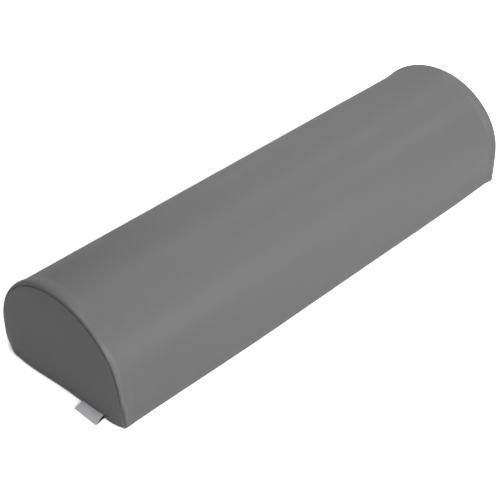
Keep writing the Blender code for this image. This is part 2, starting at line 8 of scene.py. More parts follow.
import bmesh
import bpy
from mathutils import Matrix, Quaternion, Vector, noise
from mathutils.geometry import interpolate_bezier
from mathutils.kdtree import KDTree


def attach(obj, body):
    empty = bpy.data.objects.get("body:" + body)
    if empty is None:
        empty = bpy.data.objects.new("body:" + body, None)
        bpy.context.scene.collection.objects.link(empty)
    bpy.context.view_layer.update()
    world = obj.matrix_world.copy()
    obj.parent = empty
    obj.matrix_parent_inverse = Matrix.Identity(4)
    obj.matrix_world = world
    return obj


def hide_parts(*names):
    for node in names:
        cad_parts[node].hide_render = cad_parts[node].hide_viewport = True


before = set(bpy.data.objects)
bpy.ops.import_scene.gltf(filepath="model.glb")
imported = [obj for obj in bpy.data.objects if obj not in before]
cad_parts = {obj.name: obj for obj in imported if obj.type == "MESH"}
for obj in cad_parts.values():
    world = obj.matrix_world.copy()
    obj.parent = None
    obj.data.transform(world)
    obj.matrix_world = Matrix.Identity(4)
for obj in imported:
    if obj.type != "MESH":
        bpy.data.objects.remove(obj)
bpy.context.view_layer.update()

# Sizes of the stuffed cover
NEAR_END = 0.300  # seam planes from the middle
FAR_END = 0.3012
HALF_WIDTH = 0.090
HEIGHT = 0.117
SIDE_HEIGHT = 0.034  # straight sides below the arch
VINYL = 0.0012  # thickness of the vinyl
GAP = 0.0001  # left between faces that touch
MIDDLE = Vector((0.0, 0.0, 0.05))
INWARD = Vector((-1.0, -1.0)).normalized()  # from the bottom seam into the stuffing

# How the end seams draw the panels in. A dip or swell is its amount, its middle and its width.
END_DRAW = 0.0037  # over the arch, inside the wrap's outline
CORNER_DRAW = 0.0009  # at the bottom corners
CORNER = (0.004, 0.036)  # heights between which the draw changes from a corner to the arch
SIDE_DIP = (-0.0010, 0.068, 0.018)  # less draw halfway up the arch
NEAR_DRAW = 0.0018  # at the near end's front corner, and less at two heights above it
NEAR_DIPS = ((-0.0024, 0.022, 0.0135), (-0.0029, 0.0755, 0.0125))
REAR_DRAW = 0.0012  # at the rear the near end's seam runs on the corner itself
REAR_LOW = (0.092, 0.047)  # heights between which that comes in, and the same across the bolster
REAR_BACK = (0.010, 0.055)
REAR_OUT = 0.0013  # the end stands out there: fully from one height, and mostly lost between two others
REAR_OUT_RISE = 0.020
REAR_OUT_FADE = (0.025, 0.080)
REAR_OUT_LOSS = 0.85
TURN = 0.0018  # the wrap turns the end's edge this far past its seam
CORNER_TURN = 0.0006
REAR_TURN = 0.0002
TURN_FADE = (0.030, 0.060)  # past the crest the near end's turn loses a share
TURN_LOSS = 0.6
TURN_LIFT = 0.35  # share of the rim's lift that the turn takes
RIM = (0.0003, 0.0011)  # seam allowance lifts the rim of the wrap, near end and far end
CORNER_RIM = (0.0005, 0.0, 0.014)  # and this much less at the near end's front bottom corner
RIM_REACH = 0.0035  # distance of the rim's top from the seam
RIM_FOOT = 0.0130  # where the allowance under the wrap ends
RIM_CURVE = 1.4
WAIST = -0.0005  # the wrap between the rims, in front and behind
REAR_WAIST = -0.0007
WAIST_BACK = 0.040
WAIST_UP = (0.036, 0.066)  # the rear side keeps clear of the zip
SPREAD = 0.0026  # the sides stand out this much at the floor
SPREAD_HEIGHT = 0.030
SPREAD_NEAR = (-0.292, -0.112)  # and less towards the ends
SPREAD_FAR = (0.300, 0.215)
SPREAD_LEAST = 0.35
SWELL_REACH = 0.045  # an end's swell moves the wrap this far from the seam, and the base
BASE_REACH = 0.060

# How an end stands out
BELLY = 0.0022  # its bottom edge
BELLY_SWELL = (0.0032, 0.048, 0.034)
BELLY_FADE = 0.020  # height over which that fades
BELLY_SIDE = (0.0885, 0.0705)
BELLY_TUCK = 0.0014  # at its corners
CORNER_FROM = 0.068  # the near end's front corner begins this far from the middle, and is this long
CORNER_LENGTH = 0.0213
CORNER_TUCK = 0.0030
TIP_TUCK = 0.0023  # and its very tip
TIP_FADE = 0.011
FAR_LEAN = 0.0005  # the far end stands out more half-way up than at the floor
FAR_LEAN_HEIGHT = 0.055
FAR_TUCK = 0.0008
FAR_TUCK_FADE = 0.012

# Seams
BASE_DRAW = 0.0006  # bottom seam at the front
BASE_ROLL = 0.006
BASE_LIFT = 0.0004  # the underside at the end seams
ROLL_HOLD = 0.62
ROLL_PULL = 0.0018
ALLOWANCE = 0.0035  # turned-in edge behind a seam
ALLOWANCE_DEPTH = 0.0026
SEAM_WALL = 0.2  # share of the wall's thickness left in the fold of a seam
GATHER_PITCH = 0.0042
GATHER_DEPTH = 0.00011
GATHER_REACH = 0.0035
UNEVEN = (0.00022, 0.00007)  # slow and quicker unevenness of the vinyl
UNEVEN_REACH = 0.012

# End panels
PANEL_RIM = 0.0012  # an end panel rolls out of its seam by this much
PANEL_ROLL = 0.0034
CROWN = 0.0019  # and then swells this much to its middle, before the cloth simulation
CROWN_REACH = 0.045
CROWN_CURVE = 2.4
PANEL_RINGS = (0.0028, 0.0042, 0.006, 0.0085, 0.0115, 0.015, 0.019, 0.0235, 0.0285, 0.034, 0.04, 0.046, 0.051)
CLOTH_GRID = (41, 27)  # points across and up the simulated end panel
CLOTH_FRAMES = 20
CLOTH_CAP = 0.0015  # no point moves further than this
CLOTH = dict(quality=8, mass=0.3, tension_stiffness=40.0, compression_stiffness=40.0, shear_stiffness=20.0,
             bending_stiffness=2.0, tension_damping=40.0, compression_damping=40.0, shear_damping=40.0,
             air_damping=8.0, use_pressure=True, uniform_pressure_force=4.0)

# Foam
FOAM_INSET = 0.0021
FOAM_FLOOR = 0.0017
FOAM_CHAMFER = 0.006  # in front, where the bottom seam's allowance lies
REBATE_Y = 0.0836  # and behind the zip
REBATE_Z = (0.006, 0.0328)
FOAM_ENDS = ((0.2965, 0.0062), (0.2935, 0.0030), (0.2890, 0.0008), (0.2830, 0.0))
FOAM_MIDDLE = (0.080, 0.055)  # half-width and height towards which its ends are drawn in

# Zip
ZIP_HALF = 0.250
ZIP_HEIGHT = 0.018
OPENING = 0.005  # half the width between the folded edges
OVERRUN = 0.003
TAPER = 0.012
FOLD = 0.00135  # radius of the folded edges
HEM = 0.005
BASE_CORNER = 0.0085
TAPE_Y = 0.08675  # middle of the tapes and of the teeth
TAIL_SIZE = (0.0132, 0.0005, 0.0031)
TAIL_X = 0.2568
TACK_SIZE = (0.0004, 0.0004, 0.0050)
TACK_X = 0.2516
STITCH_LINE = 0.0094  # topstitching, from the middle of the zip
STITCH_DENT = (-0.00016, STITCH_LINE, 0.0009)
STITCH_PITCH = 0.0031
STITCH_LENGTH = 0.0025
STITCHED = 0.512
THREAD = 0.00046
TOOTH_SIZE = (0.00120, 0.0024, 0.0038)
TOOTH_CUTS = (0.0003, 0.0012, 0.0018)  # heights over the zip's middle
TOOTH_SHAPE = ((0.0011, 0.0013, (0.55, 0.92, 1.0)),  # neck: heights between which it is resized, and factors
               (-0.0010, -0.0008, (0.72, 0.86, 1.0)),  # tip
               (0.0017, 0.0030, (1.25, 1.0, 1.0)))  # root
TOOTH_PITCH = 0.0028
TOOTH_START = -0.2475  # the teeth begin here, at the near end of the zip
BEAD_END = 0.2477  # the beads that carry them run on to the top stops
BEAD_SIZE = (BEAD_END - TOOTH_START, 0.0017, 0.0011)
TEETH = (175, 174)  # upper and lower row
STOP_X = 0.2489
STOP_SIZE = (0.0022, 0.0024)
STOP_HEIGHTS = (0.00015, 0.0029)
SLIDER_X = 0.2420  # middle of the slider where the zip is closed
SLIDER_SIZE = (0.0110, 0.0010, 0.0086)
WING_Y = (0.08875, 0.08475)
FLANGE_SIZE = (0.0074, 0.0016, 0.0010)
POST_SIZE = (0.0040, 0.0036, 0.0026)
BRIDGE_TOP = 0.09270
BRIDGE_REACH = 0.0028
BRIDGE_BEND = 0.00125
BRIDGE_METAL = (0.0009, 0.0004, 0.0024)
PULL_Y = 0.0909
PULL_SIZE = (0.026, 0.0012, 0.0070)
WINDOW = (0.00335, 0.004, 0.0032)
GRIP_SLOT = (0.0050, 0.004, 0.0024)
RIDGE_SIZE = (0.0007, 0.0005, 0.0048)

# Label in the near end's bottom seam
LABEL_EDGES = (-0.0320, -0.0631)  # where its sides leave the seam
LABEL_LEAN = (-0.0012, -0.0028)  # and how far they lean over on the way to the fold
LABEL_OUT = (0.0149, 0.0156)  # from the seam plane to the fold, on either side
LABEL_IN = 0.0026  # held in the seam
LABEL_RISE = (0.0012, 0.0036)  # height of the upper layer in the seam
LABEL_LOW = 0.00085
LABEL_BOW = 0.0010
LABEL_FOLD = 0.02  # the fold rounds out by this share of the length
RIBBON = 0.00022

# Looks
VINYL_COLOUR = (0.200, 0.200, 0.2015)
VINYL_ROUGHNESS = 0.40
# painted highlight beside the seams: how much it lightens the colour
VINYL_HIGHLIGHT = 0.19
SEAM_SHADE = 0.0005  # the darkening in a seam, dirt and painted shade, fades over this distance
SEAM_HIGHLIGHT = (1.0, 0.0030, 0.0011)  # painted highlight on the roll beside a seam, and the heights over which that ends
SEAM_HIGHLIGHT_LOW = (0.100, 0.080)
FLOOR_GAIN = 2.6  # the lit floor is burnt out to white for the camera
FLOOR_FADE = (0.75, 1.5)  # and between these distances it goes over to plain white

# Steps
PITCH = 0.0012
ROLL_STEPS = 8
ARCH_STEPS = 230
FOLD_STEPS = 5
LABEL_STEPS = (14, 24)  # along either layer and across


def between(pair, share):
    return pair[0] + (pair[1] - pair[0]) * share


def ramp(low, high, at):
    """0 on the low side of a stretch, 1 past its high end, smooth in between; low may be the greater."""
    t = min(max((at - low) / (high - low), 0.0), 1.0)
    return t * t * (3.0 - 2.0 * t)


def hump(amount, middle, width, at):
    return amount * math.exp(-((at - middle) / width) ** 2)


def fading(reach, z):
    """1 at the floor, dying away above it."""
    return math.exp(-max(z, 0.0) / reach)


def angles(steps, turn=90):
    """Angles of a turn in equal steps, without its start."""
    return [math.radians(turn) * step / steps for step in range(1, steps + 1)]


def steps_between(low, high, pitch):
    """Values after low up to high, about a pitch apart."""
    count = max(1, round(abs(high - low) / pitch))
    return [low + (high - low) * step / count for step in range(1, count + 1)]


def half_opening(x):
    """Half the width of the zip's opening, closing past its ends."""
    end = ZIP_HALF + OVERRUN
    return between((OPENING, GAP / 2), ramp(end, end + TAPER, abs(x)))


def at_rear(side, y, z):
    """1 low on the rear side of the near end, 0 over its arch, on its front and on the far end."""
    return 0.0 if side > 0 else ramp(*REAR_LOW, z) * ramp(*REAR_BACK, y)


def end_draw(side, y, z):
    """Draw of an end seam at (y, z)."""
    over = ramp(*CORNER, z)
    if side < 0 and y < 0.0:
        return between((NEAR_DRAW, END_DRAW), over) + sum(hump(*dip, z) for dip in NEAR_DIPS)
    front = between((CORNER_DRAW, END_DRAW), over) + hump(*SIDE_DIP, z)
    rear = between((CORNER_DRAW, REAR_DRAW), over)
    return between((front, rear), at_rear(side, y, z))


def end_turn(side, y, z):
    """How far the wrap turns an end's edge past its seam at (y, z)."""
    front = between((CORNER_TURN, TURN), ramp(0.0, CORNER[1], z))
    if side < 0:
        front *= 1.0 - TURN_LOSS * ramp(*TURN_FADE, y)
    return between((front, REAR_TURN), at_rear(side, y, z))


def end_plane(side):
    return NEAR_END if side < 0 else FAR_END


def rim_lift(side, y, z):
    if side > 0:
        return RIM[1]
    return RIM[0] - (hump(*CORNER_RIM, z) if y < 0.0 else 0.0)


def spread(x, y, z):
    """How far the front stands out at the floor between the drawn-in corners."""
    if y > 0.0:
        return 0.0
    far = between((SPREAD_LEAST, 1.0), ramp(*SPREAD_FAR, x))
    return hump(SPREAD * ramp(*SPREAD_NEAR, x) * far, 0.0, SPREAD_HEIGHT, z)


def waist(y, z):
    """The wrap between its rims is this much out."""
    if y < 0.0:
        return WAIST
    return between((WAIST, REAR_WAIST), ramp(0.0, WAIST_BACK, y)) * ramp(*WAIST_UP, z)


def stitch_channel(y, z):
    """Shallow channel that the topstitching beside the zip pulls into the vinyl."""
    return hump(*STITCH_DENT, abs(z - ZIP_HEIGHT)) if y > HALF_WIDTH - 0.010 else 0.0


def past_corner(side, y):
    """0 along the near end's bottom edge, rising to 1 at its front corner."""
    if side > 0 or y > 0.0:
        return 0.0
    return min(max((-y - CORNER_FROM) / CORNER_LENGTH, 0.0), 1.0)


def belly(side, y):
    """How far the bottom edge of an end stands out at y: two soft swells between drawn-in corners."""
    swell = BELLY + hump(*BELLY_SWELL, -side * y)
    if side < 0 and y < 0.0:
        return swell - CORNER_TUCK * past_corner(side, y) ** 2.2
    inside = ramp(*BELLY_SIDE, abs(y))
    return inside * swell - BELLY_TUCK * (1.0 - inside)


def end_out(side, y, z):
    """How far an end stands out at (y, z) beyond its plane."""
    rear = ramp(0.0, REAR_OUT_RISE, z) * (1.0 - REAR_OUT_LOSS * ramp(*REAR_OUT_FADE, z))
    out = REAR_OUT * at_rear(side, y, z) * rear
    if side > 0:
        out += FAR_LEAN * ramp(0.0, FAR_LEAN_HEIGHT, z) - FAR_TUCK * fading(FAR_TUCK_FADE, z)
    out -= TIP_TUCK * past_corner(side, y) ** 4 * fading(TIP_FADE, z)
    return belly(side, y) * fading(BELLY_FADE, z) + out


def unevenness(x, y, z):
    """Slow unevenness of stretched vinyl over foam."""
    wide = noise.noise(Vector((x * 9.0, y * 14.0, z * 14.0 + 3.7)))
    fine = noise.noise(Vector((x * 30.0 + 5.0, y * 42.0, z * 42.0)))
    return UNEVEN[0] * wide + UNEVEN[1] * fine


def pucker(arc, distance):
    """Gathers at the stitches of a seam, arc metres along it and that far from it."""
    depth = GATHER_DEPTH * (0.6 + 0.7 * noise.noise(Vector((arc * 45.0, 1.3, 0.0))))
    return depth * math.cos(arc * math.tau / GATHER_PITCH) * math.exp(-distance / GATHER_REACH)


# Sections, as rows of (y, z, push in y, push in z)
def rolled_edge():
    """A panel rolling into the bottom seam at (0, 0): (along, out) points from its turned-in tip."""
    side = Vector((-1.0, 1.0)).normalized() * GAP
    start = Vector((-BASE_ROLL, BASE_DRAW))
    held = start + Vector((BASE_ROLL * ROLL_HOLD, 0.0))
    points = interpolate_bezier(start, held, side - INWARD * ROLL_PULL, side, ROLL_STEPS + 1)
    return [side + INWARD * ALLOWANCE] + points[::-1]


def arch(half_width, rise, steps):
    """Half ellipse over the straight sides, from the front to the rear, as (y, z)."""
    turns = [math.pi] + [math.pi - turn for turn in angles(steps, 180)]
    return [(half_width * math.cos(turn), SIDE_HEIGHT + rise * math.sin(turn)) for turn in turns]


def fold_rows(edge, direction):
    """Folded edge beside the zip and its hem, from the panel's face inwards."""
    rows = []
    for turn in angles(FOLD_STEPS, 180):
        y = HALF_WIDTH - FOLD + FOLD * math.cos(turn)
        rows.append((y, edge + direction * FOLD * math.sin(turn), 1.0, 0.0))
    return rows + [(HALF_WIDTH - 2 * FOLD, edge - direction * HEM, 1.0, 0.0)]


def wrap_rows(opening):
    """The wrap: front bottom seam, arch, zip's upper edge; and its folded edge."""
    rows = []
    for along, out in rolled_edge():
        rows.append((-(HALF_WIDTH - BASE_DRAW) - out, BASE_DRAW - along, -1.0, 0.0))
    for z in steps_between(BASE_DRAW + BASE_ROLL, SIDE_HEIGHT, PITCH)[:-1]:
        rows.append((-HALF_WIDTH, z, -1.0, 0.0))
    rise = HEIGHT - SIDE_HEIGHT
    for y, z in arch(HALF_WIDTH, rise, ARCH_STEPS):
        rows.append((y, z, *Vector((y / HALF_WIDTH ** 2, (z - SIDE_HEIGHT) / rise ** 2)).normalized()))
    edge = ZIP_HEIGHT + opening + FOLD
    for share in steps_between(0.0, 1.0, 0.05):
        rows.append((HALF_WIDTH, between((SIDE_HEIGHT, edge), share), 1.0, 0.0))
    return rows, fold_rows(edge, -1.0)


def base_rows(opening):
    """The base panel: front bottom seam, underside, up to the zip's lower edge; and its folded edge."""
    seam = -(HALF_WIDTH - BASE_DRAW)
    rows = [(seam - along, BASE_DRAW - out, 0.0, -1.0) for along, out in rolled_edge()]
    for y in steps_between(seam + BASE_ROLL, HALF_WIDTH - BASE_CORNER, 3 * PITCH):
        rows.append((y, 0.0, 0.0, -1.0))
    for turn in angles(6):
        out, up = math.sin(turn), -math.cos(turn)
        rows.append((HALF_WIDTH - BASE_CORNER * (1.0 - out), BASE_CORNER * (1.0 + up), out, up))
    edge = ZIP_HEIGHT - opening - FOLD
    for share in steps_between(0.0, 1.0, 0.15):
        rows.append((HALF_WIDTH, between((BASE_CORNER, edge), share), 1.0, 0.0))
    return rows, fold_rows(edge, 1.0)


def half_stations():
    """From a seam to the middle: (past the seam, share of the draw, of the rim, of the turn)."""
    stations = [(-ALLOWANCE, 1.0, 0.0, 0.0), (0.0, 1.0, 0.0, 0.0)]
    for angle in angles(5):
        lift = TURN_LIFT * (1.0 - math.cos(angle))
        stations.append((0.0, 1.0 - lift, lift, math.sin(angle)))
    for angle in angles(8):
        lift = between((TURN_LIFT, 1.0), math.sin(angle))
        stations.append((-RIM_REACH * (1.0 - math.cos(angle)), 1.0 - lift, lift, math.cos(angle)))
    foot = RIM_FOOT + 0.004
    for along in steps_between(RIM_REACH, foot, 0.0011):
        t = min((along - RIM_REACH) / (RIM_FOOT - RIM_REACH), 1.0)
        stations.append((-along, 0.0, 1.0 - t ** RIM_CURVE, 0.0))
    for low, high, pitch in ((foot, 0.060, 0.003), (0.060, 0.120, 0.006), (0.120, 0.300, 0.012)):
        stations += [(-along, 0.0, 0.0, 0.0) for along in steps_between(low, high, pitch)]
    return stations


def all_stations():
    half = half_stations()
    return [(-1, *station) for station in half] + [(1, *station) for station in half[-2::-1]]


# Meshes
def new_object(name, data):
    obj = bpy.data.objects.new(name, data)
    bpy.context.scene.collection.objects.link(obj)
    return obj


def new_piece(name, verts, faces):
    mesh = bpy.data.meshes.new(name)
    mesh.from_pydata(verts, [], faces)
    return new_object(name, mesh)


def grid_faces(lines, count, closed=False):
    """Faces between lines of count points each; a closed line's last point is joined to its first."""
    faces = []
    for line in range(lines - 1):
        for index in range(count if closed else count - 1):
            a = line * count + index
            b = line * count + (index + 1) % count
            faces.append((a, b, b + count, a + count))
    return faces


def mark(obj, name, values):
    """Attribute of the points, which a material reads."""
    obj.data.attributes.new(name, "FLOAT", "POINT").data.foreach_set("value", values)


def only(obj):
    bpy.ops.object.select_all(action="DESELECT")
    obj.select_set(True)
    bpy.context.view_layer.objects.active = obj


def edit(obj, action="DESELECT"):
    only(obj)
    bpy.ops.object.mode_set(mode="EDIT")
    bpy.ops.mesh.select_mode(type="VERT")
    bpy.ops.mesh.select_all(action=action)


def done():
    bpy.ops.object.mode_set(mode="OBJECT")


def apply_modifiers(obj):
    only(obj)
    for modifier in list(obj.modifiers):
        bpy.ops.object.modifier_apply(modifier=modifier.name)


def smooth(angle):
    bpy.ops.object.shade_smooth_by_angle(angle=math.radians(angle))


def outward(obj):
    """Join doubled points and turn the faces away from the middle of the bolster."""
    edit(obj, "SELECT")
    bpy.ops.mesh.remove_doubles(threshold=0.00001)
    bpy.ops.mesh.normals_make_consistent(inside=False)
    done()
    if sum(face.normal.dot(face.center - MIDDLE) * face.area for face in obj.data.polygons) < 0:
        edit(obj, "SELECT")
        bpy.ops.mesh.flip_normals()
        done()


def thin_at_seams(obj, stations, count):
    """Vertex group that lets the wall stay thin where the vinyl doubles back into an end seam."""
    group = obj.vertex_groups.new(name="wall")
    for index, (_, along, drawn, _, turned) in enumerate(stations):
        share = 1.0 if along < 0.0 and drawn < 1.0 else between((SEAM_WALL, 1.0), turned ** 4)
        group.add(list(range(index * count, (index + 1) * count)), share, "REPLACE")


def give_wall(obj):
    """Thickness on a sheet's inner side, and smooth shading."""
    wall = obj.modifiers.new("vinyl wall", "SOLIDIFY")
    wall.thickness = VINYL
    wall.offset = -1.0
    if "wall" in obj.vertex_groups:
        wall.vertex_group = "wall"
    apply_modifiers(obj)
    smooth(50)


# Cover
def turned_in(station):
    """The seam allowance's free edge lies this much deeper than its seam."""
    return ALLOWANCE_DEPTH if station[1] < 0.0 and station[2] == 1.0 else 0.0


def pushed(station, y, z, seam, reach):
    """Place along the bolster of a point at (y, z), and how far it is pushed out of its section."""
    side, along, drawn, lifted, turned = station
    x = end_plane(side) + along + end_turn(side, y, z) * turned
    x += end_out(side, *seam) * ramp(-reach, 0.0, along)
    push = rim_lift(side, y, z) * lifted - end_draw(side, y, z) * drawn
    push += waist(y, z) * (1.0 - lifted - drawn) + spread(side * x, y, z) + stitch_channel(y, z)
    return side * x, push


def wrap_place(station, row):
    """Place of a row of the wrap, or of the rear of the base, at a station."""
    y, z, push_y, push_z = row
    draw = end_draw(station[0], y, z)
    x, push = pushed(station, y, z, (y - push_y * draw, z - push_z * draw), SWELL_REACH)
    push -= turned_in(station)
    return x, y + push_y * push, max(z + push_z * push, 0.0)


def base_place(station, row):
    """Place of a row of the base: the underside lifts into the end seam, the rear follows the wrap."""
    y, z, _, push_z = row
    lift = max(0.0, BASE_LIFT - z) * station[2]
    if push_z > -1.0:
        x, out, up = wrap_place(station, row)
        return x, out, up + lift
    seam_y = y * (1.0 - end_draw(station[0], y, 0.0) / HALF_WIDTH)
    x, push = pushed(station, y, 0.0, (seam_y, 0.0), BASE_REACH)
    return x, y * (1.0 + push / HALF_WIDTH), z + lift + turned_in(station)


def wrap_column(station, body, fold):
    """The wrap's rows in their places, with unevenness and gathers."""
    places = []
    arc = 0.0
    before = body[0]
    for index, row in enumerate(body + fold):
        x, y, z = wrap_place(station, row)
        arc += math.hypot(row[0] - before[0], row[1] - before[1])
        before = row
        if 0 < index < len(body):
            shift = unevenness(x, y, z) * ramp(0.0, UNEVEN_REACH, -station[1]) + pucker(arc, -station[1])
            y += row[2] * shift
            z += row[3] * shift
        places.append((x, y, z))
    return places


def base_column(station, body, fold):
    return [base_place(station, row) for row in body + fold]


def make_panel(name, section, column):
    """Sheet of vinyl through all stations."""
    stations = all_stations()
    verts = []
    for station in stations:
        side, along = station[:2]
        verts += column(station, *section(half_opening(side * (end_plane(side) + along))))
    count = len(verts) // len(stations)
    obj = new_piece(name, verts, grid_faces(len(stations), count))
    thin_at_seams(obj, stations, count)
    outward(obj)
    give_wall(obj)
    return obj


def end_ring(side):
    """Outline of an end seam: up the front, over the arch, down the rear and back below."""
    seam = (side, 0.0, 1.0, 0.0, 0.0)
    over = [wrap_place(seam, row) for row in wrap_rows(GAP / 2)[0][1:]]
    under = [base_place(seam, row) for row in base_rows(GAP / 2)[0][1:]]
    return [Vector(place) for place in over + under[-2:0:-1]]


def panel_out(depth):
    """How far an end panel stands out of its seam, that deep inside its outline."""
    rolled = min(depth / PANEL_ROLL, 1.0)
    swell = 1.0 - min(depth / CROWN_REACH, 1.0)
    return PANEL_RIM * math.sqrt(1.0 - (1.0 - rolled) ** 2) + CROWN * (1.0 - swell ** CROWN_CURVE)


def panel_top(y):
    """Height of an end panel's seam at y."""
    rise = HEIGHT - 0.0015 - SIDE_HEIGHT
    return SIDE_HEIGHT + rise * math.sqrt(max(1.0 - (y / HALF_WIDTH) ** 2, 0.0))


def simulated_swell():
    """Cloth simulation of an end panel, held at its seam and pressed from behind: moves of a grid."""
    across, up = CLOTH_GRID
    verts, held = [], []
    for i in range(across):
        y = HALF_WIDTH * (2.0 * i / (across - 1) - 1.0)
        for j in range(up):
            if i in (0, across - 1) or j in (0, up - 1):
                held.append(len(verts))
            verts.append((0.0, y, panel_top(y) * j / (up - 1)))
    faces = [(a, d, c, b) for a, b, c, d in grid_faces(across, up)]
    panel = new_piece("panel cloth", verts, faces)
    panel.vertex_groups.new(name="held").add(held, 1.0, "REPLACE")
    cloth = panel.modifiers.new("swelling", "CLOTH")
    for setting, value in CLOTH.items():
        setattr(cloth.settings, setting, value)
    cloth.settings.vertex_group_mass = "held"
    cloth.settings.effector_weights.gravity = 0.0
    cloth.point_cache.frame_start = 1
    cloth.point_cache.frame_end = CLOTH_FRAMES
    for step in range(1, CLOTH_FRAMES + 1):
        bpy.context.scene.frame_set(step)
    pressed = panel.evaluated_get(bpy.context.evaluated_depsgraph_get())
    moves = [min(max(vert.co.x, 0.0), CLOTH_CAP) for vert in pressed.data.vertices]
    bpy.data.objects.remove(panel)
    bpy.context.scene.frame_set(1)
    return [moves[i * up:(i + 1) * up] for i in range(across)]


def swell_at(moves, y, z):
    """The simulated move at (y, z), between the grid's points."""
    across, up = CLOTH_GRID
    i = min(max((y / HALF_WIDTH + 1.0) / 2.0, 0.0), 0.9999) * (across - 1)
    j = min(max(z / panel_top(y), 0.0), 0.9999) * (up - 1)
    pair = [between(line[int(j):int(j) + 2], j % 1.0) for line in moves[int(i):int(i) + 2]]
    return between(pair, i % 1.0)


def make_end(name, side, moves):
    """End panel: turned-in edge, rings from the seam inwards, and a fan that closes the middle."""
    ring = end_ring(side)
    count = len(ring)
    low, high = min(p.z for p in ring), max(p.z for p in ring)
    middle, half_z = (low + high) / 2, (high - low) / 2
    half_y = max(abs(p.y) for p in ring)

    def inside(place, depth):
        return place.y * (1.0 - depth / half_y), middle + (place.z - middle) * (1.0 - depth / half_z)

    def plane(depth, y, z):
        return end_plane(side) + panel_out(depth) + end_out(side, y, z) + swell_at(moves, y, z)

    verts = [(p.x - side * ALLOWANCE, *inside(p, ALLOWANCE_DEPTH)) for p in ring]
    verts += [tuple(p) for p in ring]
    arc = [0.0]
    for a, b in zip(ring, ring[1:]):
        arc.append(arc[-1] + (b - a).length)
    depths = [PANEL_ROLL * (1.0 - math.cos(angle)) for angle in angles(5)] + list(PANEL_RINGS)
    for depth in depths:
        for distance, p in zip(arc, ring):
            y, z = inside(p, depth)
            verts.append((side * (plane(depth, y, z) + pucker(distance, depth) * 0.8), y, z))
    verts.append((side * plane(half_z, 0.0, middle), 0.0, middle))
    faces = grid_faces(len(depths) + 2, count, closed=True)
    last = len(verts) - 1
    faces += [(last - count + i, last - count + (i + 1) % count, last) for i in range(count)]
    obj = new_piece(name, verts, faces)
    outward(obj)
    give_wall(obj)
    return obj


def make_foam():
    """Foam block: chamfered where seam allowances lie, rebated behind for the zip."""
    side = HALF_WIDTH - FOAM_INSET
    section = [(FOAM_CHAMFER - side, FOAM_FLOOR), (-side, 0.0075)]
    section += arch(side, HEIGHT - SIDE_HEIGHT - FOAM_INSET, 40)
    section += [(side, REBATE_Z[1] + 0.0004), (REBATE_Y, REBATE_Z[1]), (REBATE_Y, REBATE_Z[0]),
                (REBATE_Y - 0.004, FOAM_FLOOR)]
    half = FOAM_ENDS + ((0.24, 0.0), (0.16, 0.0), (0.08, 0.0), (0.0, 0.0))
    verts = []
    for x, inset in [(-x, inset) for x, inset in half] + list(half[-2::-1]):
        for y, z in section:
            height = FOAM_MIDDLE[1] + (z - FOAM_MIDDLE[1]) * (1.0 - inset / FOAM_MIDDLE[1])
            verts.append((x, y * (1.0 - inset / FOAM_MIDDLE[0]), height))
    count = len(section)
    faces = grid_faces(len(verts) // count, count, closed=True)
    faces += [tuple(range(count)), tuple(range(len(verts) - count, len(verts)))]
    obj = new_piece("foam_block", verts, faces)
    outward(obj)
    smooth(35)
    return obj


# Label
def label_height(t, across):
    """Height of the ribbon's upper layer, t of the way from seam to fold; across is 1 at its front."""
    bow = LABEL_BOW * math.sin(math.pi * t) * (0.8 + 0.2 * math.cos(math.tau * across))
    return LABEL_LOW + between(LABEL_RISE, across ** 1.6) * (1.0 - t) ** 1.1 + bow


def make_label():
    """Ribbon folded double: out of the seam, round the fold and back along the floor."""
    along, wide = LABEL_STEPS
    rows = [(step / along, 1.0) for step in range(along + 1)]
    rows += [(1.0 + LABEL_FOLD * math.sin(turn), 0.5 + 0.5 * math.cos(turn)) for turn in angles(6, 180)[:-1]]
    rows += [(1.0 - step / along, 0.0) for step in range(along + 1)]
    verts = []
    for station in range(wide + 1):
        across = station / wide
        reach = between(LABEL_OUT, across) - 0.0003
        low = 0.00022 + 0.0002 * math.sin(across * 5.0) ** 2
        wave = 0.00018 * math.sin(across * 7.0 + 0.8)
        for share, upper in rows:
            out = -LABEL_IN + (reach + LABEL_IN) * share
            t = min(max(out / reach, 0.0), 1.0)
            y = between(LABEL_EDGES, across) + between(LABEL_LEAN, across) * t
            z = low + (label_height(t, across) + wave - low) * upper
            verts.append((-(NEAR_END - 0.0002) - out, y, z))
    obj = new_piece("label_ribbon", verts, grid_faces(wide + 1, len(rows)))
    mark(obj, "layer", [upper for _, upper in rows] * (wide + 1))
    wall = obj.modifiers.new("ribbon", "SOLIDIFY")
    wall.thickness = RIBBON
    wall.offset = 0.0
    apply_modifiers(obj)
    edit(obj, "SELECT")
    bpy.ops.mesh.normals_make_consistent(inside=False)
    done()
    smooth(50)
    # painted shadow: the inner faces of the folded ribbon are marked, and their colour is darkened
    shadow = []
    for vert, layer in zip(obj.data.vertices, obj.data.attributes["layer"].data):
        shadow.append(ramp(-0.1, 0.3, vert.normal.z if layer.value < 0.5 else -vert.normal.z))
    mark(obj, "shadow", shadow)
    return obj


# Zip
def on_zip(x, out=0.0, up=0.0):
    """Place on the zip: out from the middle of its tapes and up from its middle line."""
    return (x, TAPE_Y + out, ZIP_HEIGHT + up)


def pick(obj, test, kind="VERT"):
    """Select points by place, edges by middle and direction, or faces by middle and normal."""
    bpy.ops.mesh.select_mode(type=kind)
    bpy.ops.mesh.select_all(action="DESELECT")
    bm = bmesh.from_edit_mesh(obj.data)
    if kind == "VERT":
        for vert in bm.verts:
            vert.select = test(vert.co)
    elif kind == "EDGE":
        for edge in bm.edges:
            start, end = (vert.co for vert in edge.verts)
            edge.select = test((start + end) / 2, (end - start).normalized())
    else:
        for face in bm.faces:
            face.select = test(face.calc_center_median(), face.normal)
    bm.select_flush_mode()
    bmesh.update_edit_mesh(obj.data)


def resize(obj, test, factors, centre):
    pick(obj, test)
    bpy.ops.transform.resize(value=factors, center_override=centre)


def shift(obj, test, move):
    pick(obj, test)
    bpy.ops.transform.translate(value=move)


def round_corners(obj, test, radius, segments):
    pick(obj, test, "EDGE")
    bpy.ops.mesh.bevel(offset=radius, segments=segments, affect="EDGES")


